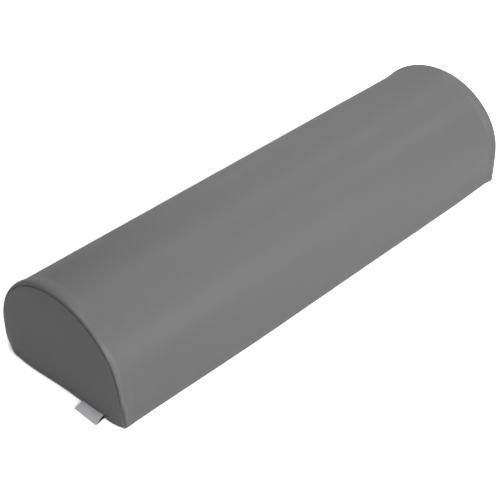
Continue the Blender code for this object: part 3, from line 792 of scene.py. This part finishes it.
def add_block(name, size, place):
    bpy.ops.object.select_all(action="DESELECT")
    bpy.ops.mesh.primitive_cube_add(size=1.0, location=place)
    obj = bpy.context.object
    obj.name = name
    obj.scale = size
    bpy.ops.object.transform_apply(location=True, rotation=True, scale=True)
    return obj


def round_edges(obj, width, segments=2, angle=40):
    """Bevel of every edge that turns more than an angle."""
    bevel = obj.modifiers.new("edges", "BEVEL")
    bevel.width = width
    bevel.segments = segments
    bevel.limit_method = "ANGLE"
    bevel.angle_limit = math.radians(angle)
    apply_modifiers(obj)
    smooth(38)
    return obj


def joined(name, pieces):
    """Several objects made into one."""
    bpy.ops.object.select_all(action="DESELECT")
    for piece in pieces:
        piece.select_set(True)
    bpy.context.view_layer.objects.active = pieces[0]
    bpy.ops.object.join()
    obj = bpy.context.object
    obj.name = name
    bpy.ops.object.transform_apply(location=True, rotation=True, scale=True)
    return obj


def copies(obj, places):
    """Copies of an object along X, each with its own mesh."""
    made = [new_object(obj.name, obj.data.copy()) for _ in places]
    for copy, x in zip(made, places):
        copy.location.x = x
    bpy.data.objects.remove(obj)
    return made


def make_teeth(name, up, count, start):
    """One row of moulded teeth on its bead; up is 1 for the row whose heads point down."""
    tooth = add_block("tooth", TOOTH_SIZE, on_zip(0.0, up=up * 0.0010))
    edit(tooth)
    for height in TOOTH_CUTS:
        bpy.ops.mesh.select_all(action="SELECT")
        bpy.ops.mesh.bisect(plane_co=on_zip(0.0, up=up * height), plane_no=(0.0, 0.0, 1.0))
    for low, high, factors in TOOTH_SHAPE:
        resize(tooth, lambda co: low < (co.z - ZIP_HEIGHT) * up < high, factors, on_zip(0.0))
    done()
    round_edges(tooth, 0.00013, 1, 20)
    row = copies(tooth, [TOOTH_START + (index + start) * TOOTH_PITCH for index in range(count)])
    bead = add_block("bead", BEAD_SIZE, on_zip((BEAD_END + TOOTH_START) / 2, up=up * 0.00235))
    return joined(name, [round_edges(bead, 0.0004)] + row)


def make_stop(name, x, low, high):
    stop = add_block(name, (*STOP_SIZE, high - low), on_zip(x, up=(low + high) / 2))
    edit(stop)
    pick(stop, lambda middle, normal: normal.y > 0.9, "FACE")
    bpy.ops.mesh.inset(thickness=0.0004, depth=-0.0001)
    done()
    return round_edges(stop, 0.00022)


def make_tails():
    """Past the stops the two tapes run on edge to edge, under a bar of stitching."""
    tails = []
    for end in (-1, 1):
        for up in (-1, 1):
            tail = add_block("tape tail", TAIL_SIZE, on_zip(end * TAIL_X, up=up * 0.00163))
            edit(tail)
            shift(tail, lambda co: end * co.x > TAIL_X, (end * -0.0006 * (1 + up), 0.0, 0.0))
            done()
            tails.append(round_edges(tail, 0.00012))
        for row in range(5):
            tack = add_block("tack", TACK_SIZE, on_zip(end * (TACK_X + 0.00045 * row), out=0.0004))
            tails.append(round_edges(tack, 0.00015))
    return joined("zip_tape_tails", tails)


def corner_block(name, size, place, radius):
    """Block with the four corners of its face rounded."""
    block = add_block(name, size, place)
    edit(block)
    round_corners(block, lambda middle, along: abs(along.y) > 0.9, radius, 6)
    done()
    return block


def make_wing(y):
    """Plate of the slider with round corners and a shallow recess stamped in its outer face."""
    out = 1.0 if y > TAPE_Y else -1.0
    wing = corner_block("slider wing", SLIDER_SIZE, (SLIDER_X, y, ZIP_HEIGHT), 0.0020)
    edit(wing)
    pick(wing, lambda middle, normal: normal.y * out > 0.9, "FACE")
    bpy.ops.mesh.inset(thickness=0.0009, depth=0.0)
    bpy.ops.mesh.inset(thickness=0.00025, depth=-0.00018)
    done()
    return round_edges(wing, 0.00024, 3, 50)


def make_bridge():
    """Arch over the pull's bar: a foot extruded up, spun over, across, and down to the other foot."""
    foot = 0.0021
    thick = BRIDGE_METAL[0]
    bend_y = BRIDGE_TOP - BRIDGE_BEND
    rise = bend_y - TAPE_Y - foot - BRIDGE_METAL[1] / 2
    half = BRIDGE_REACH - BRIDGE_BEND
    leg = add_block("slider bridge", BRIDGE_METAL, on_zip(SLIDER_X + BRIDGE_REACH - thick / 2, foot))
    edit(leg)
    pick(leg, lambda middle, normal: normal.y > 0.9, "FACE")
    for move, bend_x in (((0.0, rise, 0.0), half), ((-2.0 * half, 0.0, 0.0), -half)):
        bpy.ops.mesh.extrude_region_move(TRANSFORM_OT_translate={"value": move})
        bpy.ops.mesh.spin(steps=6, angle=math.radians(90), center=(SLIDER_X + bend_x, bend_y, ZIP_HEIGHT),
                          axis=(0.0, 0.0, 1.0))
    bpy.ops.mesh.extrude_region_move(TRANSFORM_OT_translate={"value": (0.0, -rise, 0.0)})
    bpy.ops.mesh.select_all(action="SELECT")
    bpy.ops.mesh.remove_doubles(threshold=0.00001)
    bpy.ops.mesh.normals_make_consistent(inside=False)
    done()
    return round_edges(leg, 0.00025, 3, 60)


def make_slider():
    """Two wings with their flanges, the dividing post between them and the bridge."""
    pieces = [make_wing(y) for y in WING_Y]
    for across in (-0.0038, 0.0038):
        for out in (-0.0014, 0.0014):
            flange = add_block("flange", FLANGE_SIZE, on_zip(SLIDER_X, out, across))
            pieces.append(round_edges(flange, 0.0002))
    post = add_block("post", POST_SIZE, on_zip(SLIDER_X + 0.0032))
    edit(post)
    resize(post, lambda co: co.x < SLIDER_X + 0.0020, (1.0, 1.0, 0.12), on_zip(SLIDER_X))
    done()
    pieces += [round_edges(post, 0.0002), make_bridge()]
    return joined("slider_body", pieces)


def cut_out(obj, size, x, radius):
    """Hole with round corners through the pull."""
    tool = corner_block("hole", size, (x, PULL_Y, ZIP_HEIGHT), radius)
    cut = obj.modifiers.new("cut", "BOOLEAN")
    cut.operation = "DIFFERENCE"
    cut.object = tool
    apply_modifiers(obj)
    bpy.data.objects.remove(tool)


def make_pull():
    """Tab with its window for the bridge, a grip slot and three ridges, lying flat on the cover."""
    end = SLIDER_X + 0.0006
    pull = corner_block("pull_tab", PULL_SIZE, (end - PULL_SIZE[0] / 2, PULL_Y, ZIP_HEIGHT), 0.0020)
    cut_out(pull, WINDOW, SLIDER_X - 0.002275, 0.0005)
    cut_out(pull, GRIP_SLOT, SLIDER_X - 0.02015, 0.0010)
    edit(pull)

    def on_bar(middle, along):
        return middle.x > end - 0.00121 and abs(middle.z - ZIP_HEIGHT) < 0.0017 and abs(along.z) > 0.9

    round_corners(pull, on_bar, 0.00045, 4)
    done()
    pieces = [round_edges(pull, 0.00020, 3, 50)]
    for index in range(3):
        place = (SLIDER_X - 0.0100 - 0.0018 * index, PULL_Y + 0.00055, ZIP_HEIGHT)
        pieces.append(round_edges(add_block("ridge", RIDGE_SIZE, place), 0.0002))
    return joined("pull_tab", pieces)


def make_stitches(name, up):
    """Row of topstitching beside the zip, each stitch dipping into the vinyl at its ends."""
    bpy.ops.object.select_all(action="DESELECT")
    place = (0.0, HALF_WIDTH - 0.00006, ZIP_HEIGHT + up * STITCH_LINE)
    bpy.ops.mesh.primitive_cylinder_add(vertices=6, radius=THREAD / 2, depth=STITCH_LENGTH, location=place,
                                        rotation=(0.0, math.radians(90), 0.0))
    stitch = bpy.context.object
    bpy.ops.object.transform_apply(location=True, rotation=True, scale=True)
    edit(stitch)
    for part in (-0.42, -0.28, 0.28, 0.42):
        bpy.ops.mesh.select_all(action="SELECT")
        bpy.ops.mesh.bisect(plane_co=(part * STITCH_LENGTH, 0.0, 0.0), plane_no=(1.0, 0.0, 0.0))
    for low, high, dip in ((0.49, 0.51, 0.00030), (0.40, 0.45, 0.00009)):
        shift(stitch, lambda co: low < abs(co.x) / STITCH_LENGTH < high, (0.0, -dip, 0.0))
    done()
    smooth(60)
    count = int(STITCHED / STITCH_PITCH)
    return joined(name, copies(stitch, [(index - (count - 1) / 2) * STITCH_PITCH for index in range(count)]))


# Wear
def all_seams():
    """Points along both end seams and the front bottom seam."""
    points = end_ring(-1) + end_ring(1)
    row = wrap_rows(OPENING)[0][1]
    for step in range(401):
        share = step / 400
        drawn = 1.0 - min(share * 60, 1.0)
        for side in (-1, 1):
            points.append(Vector(wrap_place((side, -0.3 * share, drawn, 0.0, 0.0), row)))
    return points


def mark_seams(obj, points):
    """Attributes: seam is 1 in a seam and fades beside it, for dirt and painted shade there; the other is 1
    on the roll beside a seam, low on the cover, for a painted highlight.
    """
    tree = KDTree(len(points))
    for index, point in enumerate(points):
        tree.insert(point, index)
    tree.balance()
    away = [tree.find(vert.co)[2] for vert in obj.data.vertices]
    mark(obj, "seam", [math.exp(-distance / SEAM_SHADE) for distance in away])
    low = [ramp(*SEAM_HIGHLIGHT_LOW, vert.co.z) for vert in obj.data.vertices]
    mark(obj, "seam_highlight", [share * hump(*SEAM_HIGHLIGHT, distance) for share, distance in zip(low, away)])


def mark_edges(obj):
    """Attribute that is higher where the surface turns, for wear on edges."""
    turned = [0.0] * len(obj.data.vertices)
    bm = bmesh.new()
    bm.from_mesh(obj.data)
    for vert in bm.verts:
        normals = [face.normal for face in vert.link_faces]
        turned[vert.index] = max((1.0 - a.dot(b) for a in normals for b in normals), default=0.0)
    bm.free()
    mark(obj, "edge", [min(turn * 1.4, 1.0) for turn in turned])


# Materials: shared effects are node groups, the shader stays in each material
SOCKETS = {1: "NodeSocketFloat", 3: "NodeSocketVector", 4: "NodeSocketColor"}
NO_COLOUR = (0.0, 0.0, 0.0, 1.0)
NOWHERE = (0.0, 0.0, 0.0)


def fill(tree, node, inputs):
    """Set a node's inputs, given by name or number, to values or link them to sockets."""
    for key, value in inputs.items():
        if isinstance(value, bpy.types.NodeSocket):
            tree.links.new(value, node.inputs[key])
        else:
            node.inputs[key].default_value = value


def add_node(tree, kind, inputs, **settings):
    node = tree.nodes.new("ShaderNode" + kind)
    for setting, value in settings.items():
        setattr(node, setting, value)
    fill(tree, node, inputs)
    return node


def maths(tree, operation, *values):
    """Result of a math node; more than two values are taken up one after another."""
    result = add_node(tree, "Math", dict(enumerate(values[:2])), operation=operation).outputs[0]
    return maths(tree, operation, result, *values[2:]) if values[2:] else result


def plus(tree, *values):
    return maths(tree, "ADD", *values)


def minus(tree, a, b):
    return maths(tree, "SUBTRACT", a, b)


def times(tree, *values):
    return maths(tree, "MULTIPLY", *values)


def noise_of(tree, vector, scale, detail=2.0, output="Fac"):
    return add_node(tree, "TexNoise", {"Scale": scale, "Detail": detail, "Vector": vector}).outputs[output]


def new_group(name, inputs, outputs):
    """Node group with inputs and outputs of the kinds of their values."""
    tree = bpy.data.node_groups.new(name, "ShaderNodeTree")
    for direction, sockets in (("INPUT", inputs), ("OUTPUT", outputs)):
        for label, value in sockets.items():
            kind = SOCKETS[len(value) if isinstance(value, tuple) else 1]
            tree.interface.new_socket(name=label, in_out=direction, socket_type=kind).default_value = value
    return tree, tree.nodes.new("NodeGroupInput").outputs, tree.nodes.new("NodeGroupOutput")


def shade_group():
    """Colour that drifts slowly over a surface, darker by its Seam input (painted shade, with dirt in the
    vinyl's seams) and lighter on edges that wear and in painted highlights.
    """
    tree, given, result = new_group(
        "surface shade", {"Colour": NO_COLOUR, "Drift": 0.0, "Scale": 1.0, "Seam": 0.0, "Seam Depth": 0.6,
                          "Worn": 0.0, "Vector": NOWHERE}, {"Colour": NO_COLOUR})
    wide = noise_of(tree, given["Vector"], given["Scale"], 3.0)
    swing = times(tree, minus(tree, wide, 0.5), given["Drift"])
    dark = times(tree, given["Seam"], given["Seam Depth"])
    gain = minus(tree, plus(tree, swing, 1.0), dark)
    gain = maths(tree, "MAXIMUM", plus(tree, gain, given["Worn"]), 0.02)
    shaded = add_node(tree, "VectorMath", {0: given["Colour"], "Scale": gain}, operation="SCALE")
    fill(tree, result, {"Colour": shaded.outputs[0]})
    return tree


def grain_group():
    """Pebble grain of synthetic leather: cells with creases between them, and a little fine tooth."""
    tree, given, result = new_group(
        "leather grain", {"Vector": NOWHERE, "Scale": 1.0, "Roughness": 0.5},
        {"Height": 0.0, "Roughness": 0.0})
    warp = noise_of(tree, given["Vector"], 260.0, output="Color")
    shifted = add_node(tree, "VectorMath", {0: warp, "Scale": 0.0011}, operation="SCALE").outputs[0]
    moved = add_node(tree, "VectorMath", {0: given["Vector"], 1: shifted}).outputs[0]
    cells = add_node(tree, "TexVoronoi", {"Vector": moved, "Scale": given["Scale"]}).outputs["Distance"]
    domed = times(tree, minus(tree, 1.0, cells), 0.85)
    fine = times(tree, noise_of(tree, given["Vector"], 5200.0, 1.0), 0.15)
    patch = minus(tree, noise_of(tree, given["Vector"], 22.0, 3.0), 0.5)
    rough = plus(tree, times(tree, patch, 0.10), times(tree, cells, 0.05),
                  given["Roughness"])
    fill(tree, result, {"Height": plus(tree, domed, fine), "Roughness": rough})
    return tree


def weave_group():
    """Over-and-under of threads: warp along one axis, weft along another, given as counts per metre."""
    tree, given, result = new_group(
        "weave", {"Along": 0.0, "Across": 0.0, "Warp": 1.0, "Weft": 1.0}, {"Height": 0.0, "Gap": 0.0})
    u = times(tree, given["Across"], given["Warp"], math.pi)
    v = times(tree, given["Along"], given["Weft"], math.pi)
    warp = maths(tree, "ABSOLUTE", maths(tree, "SINE", u))
    weft = maths(tree, "ABSOLUTE", maths(tree, "SINE", v))
    twist = maths(tree, "SINE", plus(tree, u, v))
    over = plus(tree, times(tree, twist, 0.5), 0.5)
    under = minus(tree, 1.0, over)
    height = plus(tree, times(tree, warp, over), times(tree, weft, under))
    gap = minus(tree, 1.0, maths(tree, "MAXIMUM", warp, weft))
    fill(tree, result, {"Height": height, "Gap": gap})
    return tree


def speckle_group():
    """Fine unevenness of moulded plastic or plated metal: height and roughness."""
    tree, given, result = new_group(
        "speckle", {"Vector": NOWHERE, "Roughness": 0.4}, {"Height": 0.0, "Roughness": 0.0})
    fine = noise_of(tree, given["Vector"], 1500.0, 4.0)
    wide = minus(tree, noise_of(tree, given["Vector"], 180.0, 3.0), 0.5)
    fill(tree, result, {"Height": fine, "Roughness": plus(tree, times(tree, wide, 0.1), given["Roughness"])})
    return tree


GROUPS = {"shade": shade_group(), "grain": grain_group(), "weave": weave_group(), "speckle": speckle_group()}


def place_group(tree, name, inputs):
    return add_node(tree, "Group", inputs, node_tree=GROUPS[name]).outputs


def new_material(name, inputs):
    """Material, its tree and shader, and the object's coordinates."""
    material = bpy.data.materials.new(name)
    material.use_nodes = True
    tree = material.node_tree
    shader = tree.nodes["Principled BSDF"]
    fill(tree, shader, inputs)
    return material, tree, shader, tree.nodes.new("ShaderNodeTexCoord").outputs["Object"]


def attribute(tree, name):
    return add_node(tree, "Attribute", {}, attribute_name=name).outputs["Fac"]


def shade(tree, shader, coords, colour, drift, scale, **more):
    """Colour from the shared shade; more may give its Seam, Seam_Depth and Worn."""
    inputs = {"Vector": coords, "Colour": (*colour, 1.0), "Drift": drift, "Scale": scale}
    inputs.update({label.replace("_", " "): value for label, value in more.items()})
    fill(tree, shader, {"Base Color": place_group(tree, "shade", inputs)["Colour"]})


def bump(tree, shader, height, distance, strength):
    node = add_node(tree, "Bump", {"Strength": strength, "Distance": distance, "Height": height})
    fill(tree, shader, {"Normal": node.outputs["Normal"]})


def vinyl_material():
    material, tree, shader, coords = new_material("grey vinyl", {"Sheen Weight": 0.04})
    # painted highlight: the roll beside a seam, low on the cover, is lightened in patches
    patchy = plus(tree, noise_of(tree, coords, 55.0, 3.0), 0.5)
    brightening = times(tree, attribute(tree, "seam_highlight"), patchy, VINYL_HIGHLIGHT)
    # the colour darkens in the seams: dirt and painted shade
    seam = attribute(tree, "seam")
    shade(tree, shader, coords, VINYL_COLOUR, 0.05, 14.0, Seam=seam, Seam_Depth=0.74, Worn=brightening)
    grain = place_group(tree, "grain", {"Vector": coords, "Scale": 1150.0, "Roughness": VINYL_ROUGHNESS})
    fill(tree, shader, {"Roughness": grain["Roughness"]})
    bump(tree, shader, grain["Height"], 0.00007, 0.6)
    return material


def foam_material():
    material, tree, shader, coords = new_material("open-cell foam", {"Roughness": 0.9})
    shade(tree, shader, coords, (0.78, 0.76, 0.62), 0.10, 30.0)
    cells = add_node(tree, "TexVoronoi", {"Scale": 1400.0, "Vector": coords})
    bump(tree, shader, cells.outputs["Distance"], 0.0004, 0.8)
    return material


def woven_material(name, colour, roughness, sheen, along, across, counts, depth):
    """Woven ribbon or tape; counts are the warp's and the weft's threads per metre."""
    material, tree, shader, coords = new_material(
        name, {"Roughness": roughness, "Sheen Weight": sheen, "Sheen Roughness": 0.35})
    axes = add_node(tree, "SeparateXYZ", {0: coords}).outputs
    weave = place_group(tree, "weave", {"Along": axes[along], "Across": axes[across], "Warp": counts[0],
                                        "Weft": counts[1]})
    # painted shade: the colour darkens in the gaps between threads and, by the shadow attribute, on the inner
    # faces of the label's fold
    dark = plus(tree, weave["Gap"], times(tree, attribute(tree, "shadow"), 1.86))
    shade(tree, shader, coords, colour, 0.12, 60.0, Seam=dark, Seam_Depth=0.5)
    bump(tree, shader, weave["Height"], depth, 0.8)
    return material


def hard_material(name, colour, roughness, metallic, grain, brightening):
    """Moulded plastic or plated metal, lighter on its edges where they wear."""
    material, tree, shader, coords = new_material(name, {"Metallic": metallic})
    wear = times(tree, attribute(tree, "edge"), noise_of(tree, coords, 700.0, 3.0), brightening)
    shade(tree, shader, coords, colour, 0.10, 90.0, Worn=wear)
    speckle = place_group(tree, "speckle", {"Vector": coords, "Roughness": roughness})
    fill(tree, shader, {"Roughness": speckle["Roughness"]})
    bump(tree, shader, speckle["Height"], grain, 0.6)
    return material


def thread_material():
    material, tree, shader, coords = new_material("sewing thread", {"Roughness": 0.6, "Sheen Weight": 0.2})
    axes = add_node(tree, "SeparateXYZ", {0: coords}).outputs
    twist = maths(tree, "SINE", times(tree, plus(tree, axes[0], axes[2]), 12000.0))
    shade(tree, shader, coords, (0.15, 0.15, 0.152), 0.10, 80.0)
    bump(tree, shader, twist, 0.00004, 0.8)
    return material


def dress(obj, material, body="cover", nodes=()):
    obj.data.materials.clear()
    obj.data.materials.append(material)
    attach(obj, body)
    if nodes:
        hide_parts(*nodes)


# Camera and light, fitted to the photograph: the view to its outline, the strengths to its grey levels
CAMERA_AZIMUTH = -46.338
CAMERA_ELEVATION = 36.417
CAMERA_DISTANCE = 1.4335
CAMERA_TARGET = Vector((-0.01008, 0.02281, 0.0))
CAMERA_LENS = 91.1
STRIP_SIZE = (0.80, 0.10)
STRIP_DISTANCE = 0.8
STRIP_AXIS_HEIGHT = 0.03
BOX_SIZE = 0.8


def put(name, data, place, turn, **settings):
    """A lamp or the camera with its settings at a place, turned by a quaternion."""
    for setting, value in settings.items():
        setattr(data, setting, value)
    obj = new_object(name, data)
    obj.location = place
    obj.rotation_mode = "QUATERNION"
    obj.rotation_quaternion = turn
    return obj


def add_camera():
    azimuth, elevation = math.radians(CAMERA_AZIMUTH), math.radians(CAMERA_ELEVATION)
    level = math.cos(elevation)
    back = Vector((math.sin(azimuth) * level, -math.cos(azimuth) * level, math.sin(elevation)))
    bpy.context.scene.camera = put(
        "camera", bpy.data.cameras.new("camera"), CAMERA_TARGET + back * CAMERA_DISTANCE,
        (-back).to_track_quat("-Z", "Y"), lens=CAMERA_LENS, sensor_width=36.0)


def add_box(name, direction, distance, power):
    """Square soft lamp that faces the bolster from a direction."""
    towards = Vector(direction).normalized()
    put(name, bpy.data.lights.new(name, "AREA"), towards * distance, towards.to_track_quat("Z", "Y"),
        energy=power, shape="SQUARE", size=BOX_SIZE)


def add_strip(name, along, height_angle, power):
    """Long narrow lamp beside the bolster, at an angle above the front floor as seen from the axis."""
    name = f"strip {name} {height_angle}"
    angle = math.radians(height_angle)
    place = (along, -STRIP_DISTANCE * math.cos(angle), STRIP_AXIS_HEIGHT + STRIP_DISTANCE * math.sin(angle))
    put(name, bpy.data.lights.new(name, "AREA"), place, Quaternion((1.0, 0.0, 0.0), math.pi / 2 - angle),
        energy=power, shape="RECTANGLE", size=STRIP_SIZE[0], size_y=STRIP_SIZE[1])


def add_sun(name, direction, power):
    """Soft sun from a direction."""
    put(name, bpy.data.lights.new(name, "SUN"), (0.0, 0.0, 0.0), Vector(direction).to_track_quat("Z", "Y"),
        energy=power, angle=math.radians(35))


def mix(tree, share, first, second):
    return add_node(tree, "MixShader", {0: share, 1: first, 2: second}).outputs[0]


def for_camera(tree, shown, seen):
    """What is seen by the camera's rays, and what is shown to all others."""
    return mix(tree, tree.nodes.new("ShaderNodeLightPath").outputs["Is Camera Ray"], shown, seen)


def add_world(strength):
    """Dim light from all sides, white for the camera."""
    world = bpy.data.worlds.new("studio")
    bpy.context.scene.world = world
    world.use_nodes = True
    tree = world.node_tree
    tree.nodes.clear()
    ambient = add_node(tree, "Background", {"Strength": strength}).outputs[0]
    white = add_node(tree, "Background", {"Color": (1.0, 1.0, 1.0, 1.0)}).outputs[0]
    add_node(tree, "OutputWorld", {"Surface": for_camera(tree, ambient, white)})


def add_floor():
    """White floor: like paper to the camera, so that only contact shadows darken it, and open from below."""
    bpy.ops.object.select_all(action="DESELECT")
    bpy.ops.mesh.primitive_circle_add(vertices=96, radius=6.0, fill_type="NGON", location=(0, 0, -0.0002))
    floor = bpy.context.object
    floor.name = "floor"
    bpy.ops.object.transform_apply(location=True, rotation=True, scale=True)
    material, tree, shader, coords = new_material(
        "white floor", {"Base Color": (0.8, 0.8, 0.8, 1.0), "Roughness": 0.9, "Specular IOR Level": 0.0})
    paper = add_node(tree, "BsdfDiffuse", {"Color": (FLOOR_GAIN, FLOOR_GAIN, FLOOR_GAIN, 1.0)}).outputs[0]
    away = add_node(tree, "VectorMath", {0: coords}, operation="LENGTH").outputs["Value"]
    fade = add_node(tree, "MapRange", {"Value": away, "From Min": FLOOR_FADE[0], "From Max": FLOOR_FADE[1]},
                    interpolation_type="SMOOTHSTEP").outputs["Result"]
    far_white = add_node(tree, "Emission", {"Strength": fade}).outputs[0]
    lit = add_node(tree, "AddShader", {0: paper, 1: far_white}).outputs[0]
    below = tree.nodes.new("ShaderNodeNewGeometry").outputs["Backfacing"]
    clear = tree.nodes.new("ShaderNodeBsdfTransparent").outputs[0]
    both = mix(tree, below, for_camera(tree, shader.outputs[0], lit), clear)
    fill(tree, tree.nodes["Material Output"], {"Surface": both})
    floor.data.materials.append(material)


bpy.context.scene.view_settings.view_transform = "Standard"
add_camera()
add_world(0.100)
add_floor()
add_sun("overhead", (0, 0, 1), 0.313)
add_sun("front", (0, -1, 0.5), 0.988)
add_box("far end box", (1.0, 0.0, 0.7), 1.1, 0.376)
add_box("near top box", (-0.4, -0.2, 1.0), 1.2, 2.362)
add_strip("near", -0.3, 30, 0.484)
add_strip("near", -0.3, 48, 0.241)
add_strip("near", -0.3, 130, 0.324)
add_strip("far", 0.3, 12, 0.591)
add_strip("far", 0.3, 30, 0.501)
add_strip("far", 0.3, 84, 0.087)
add_strip("far", 0.3, 105, 0.354)
add_strip("far", 0.3, 168, 0.236)
add_strip("end", 0.65, 60, 0.746)
add_strip("end", 0.65, 100, 0.706)
add_strip("end", 0.65, 130, 0.504)
add_strip("end", 0.65, 155, 0.615)

vinyl = vinyl_material()
foam = foam_material()
satin = woven_material("satin ribbon", (0.80, 0.79, 0.83), 0.42, 0.25, 1, 0, (3000.0, 1600.0), 0.00004)
tape = woven_material("zip tape", (0.075, 0.075, 0.078), 0.82, 0.3, 0, 2, (1500.0, 1900.0), 0.00012)
plastic = hard_material("moulded plastic", (0.060, 0.060, 0.063), 0.36, 0.0, 0.00002, 0.9)
metal = hard_material("plated metal", (0.40, 0.40, 0.41), 0.30, 0.9, 0.00001, 1.0)
thread = thread_material()

seams = all_seams()
swelling = simulated_swell()
covers = [(make_panel("cover_wrap", wrap_rows, wrap_column), "top_cover"),
          (make_panel("cover_base", base_rows, base_column), "base_panel"),
          (make_end("cover_near_end", -1, swelling), "near_end_panel"),
          (make_end("cover_far_end", 1, swelling), "far_end_panel")]
for piece, node in covers:
    mark_seams(piece, seams)
    dress(piece, vinyl, "cover", [node])

block = make_foam()
dress(block, foam, "cover", ["foam_core"])

label = make_label()
dress(label, satin, "cover", ["label_tag"])

low, high = STOP_HEIGHTS
for made, node in ((make_teeth("teeth_upper", 1, TEETH[0], 0.5), "zip_teeth_upper"),
                   (make_teeth("teeth_lower", -1, TEETH[1], 1.0), "zip_teeth_lower"),
                   (make_stop("stop_upper", STOP_X, low, high), "zip_top_stop_upper"),
                   (make_stop("stop_lower", STOP_X, -high, -low), "zip_top_stop_lower"),
                   (make_stop("stop_start", -STOP_X, -high, high), "zip_bottom_stop")):
    mark_edges(made)
    dress(made, plastic, "cover", [node])
slider = make_slider()
mark_edges(slider)
dress(slider, metal, "slider", ["zip_slider"])
pull = make_pull()
mark_edges(pull)
dress(pull, metal, "pull", ["zip_pull"])
dress(make_tails(), tape, "cover")
for name, up in (("topstitch_upper", 1), ("topstitch_lower", -1)):
    dress(make_stitches(name, up), thread)
for node in ("zip_tape_upper", "zip_tape_lower"):
    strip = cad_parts[node]
    strip.data.materials.clear()
    strip.data.materials.append(tape)
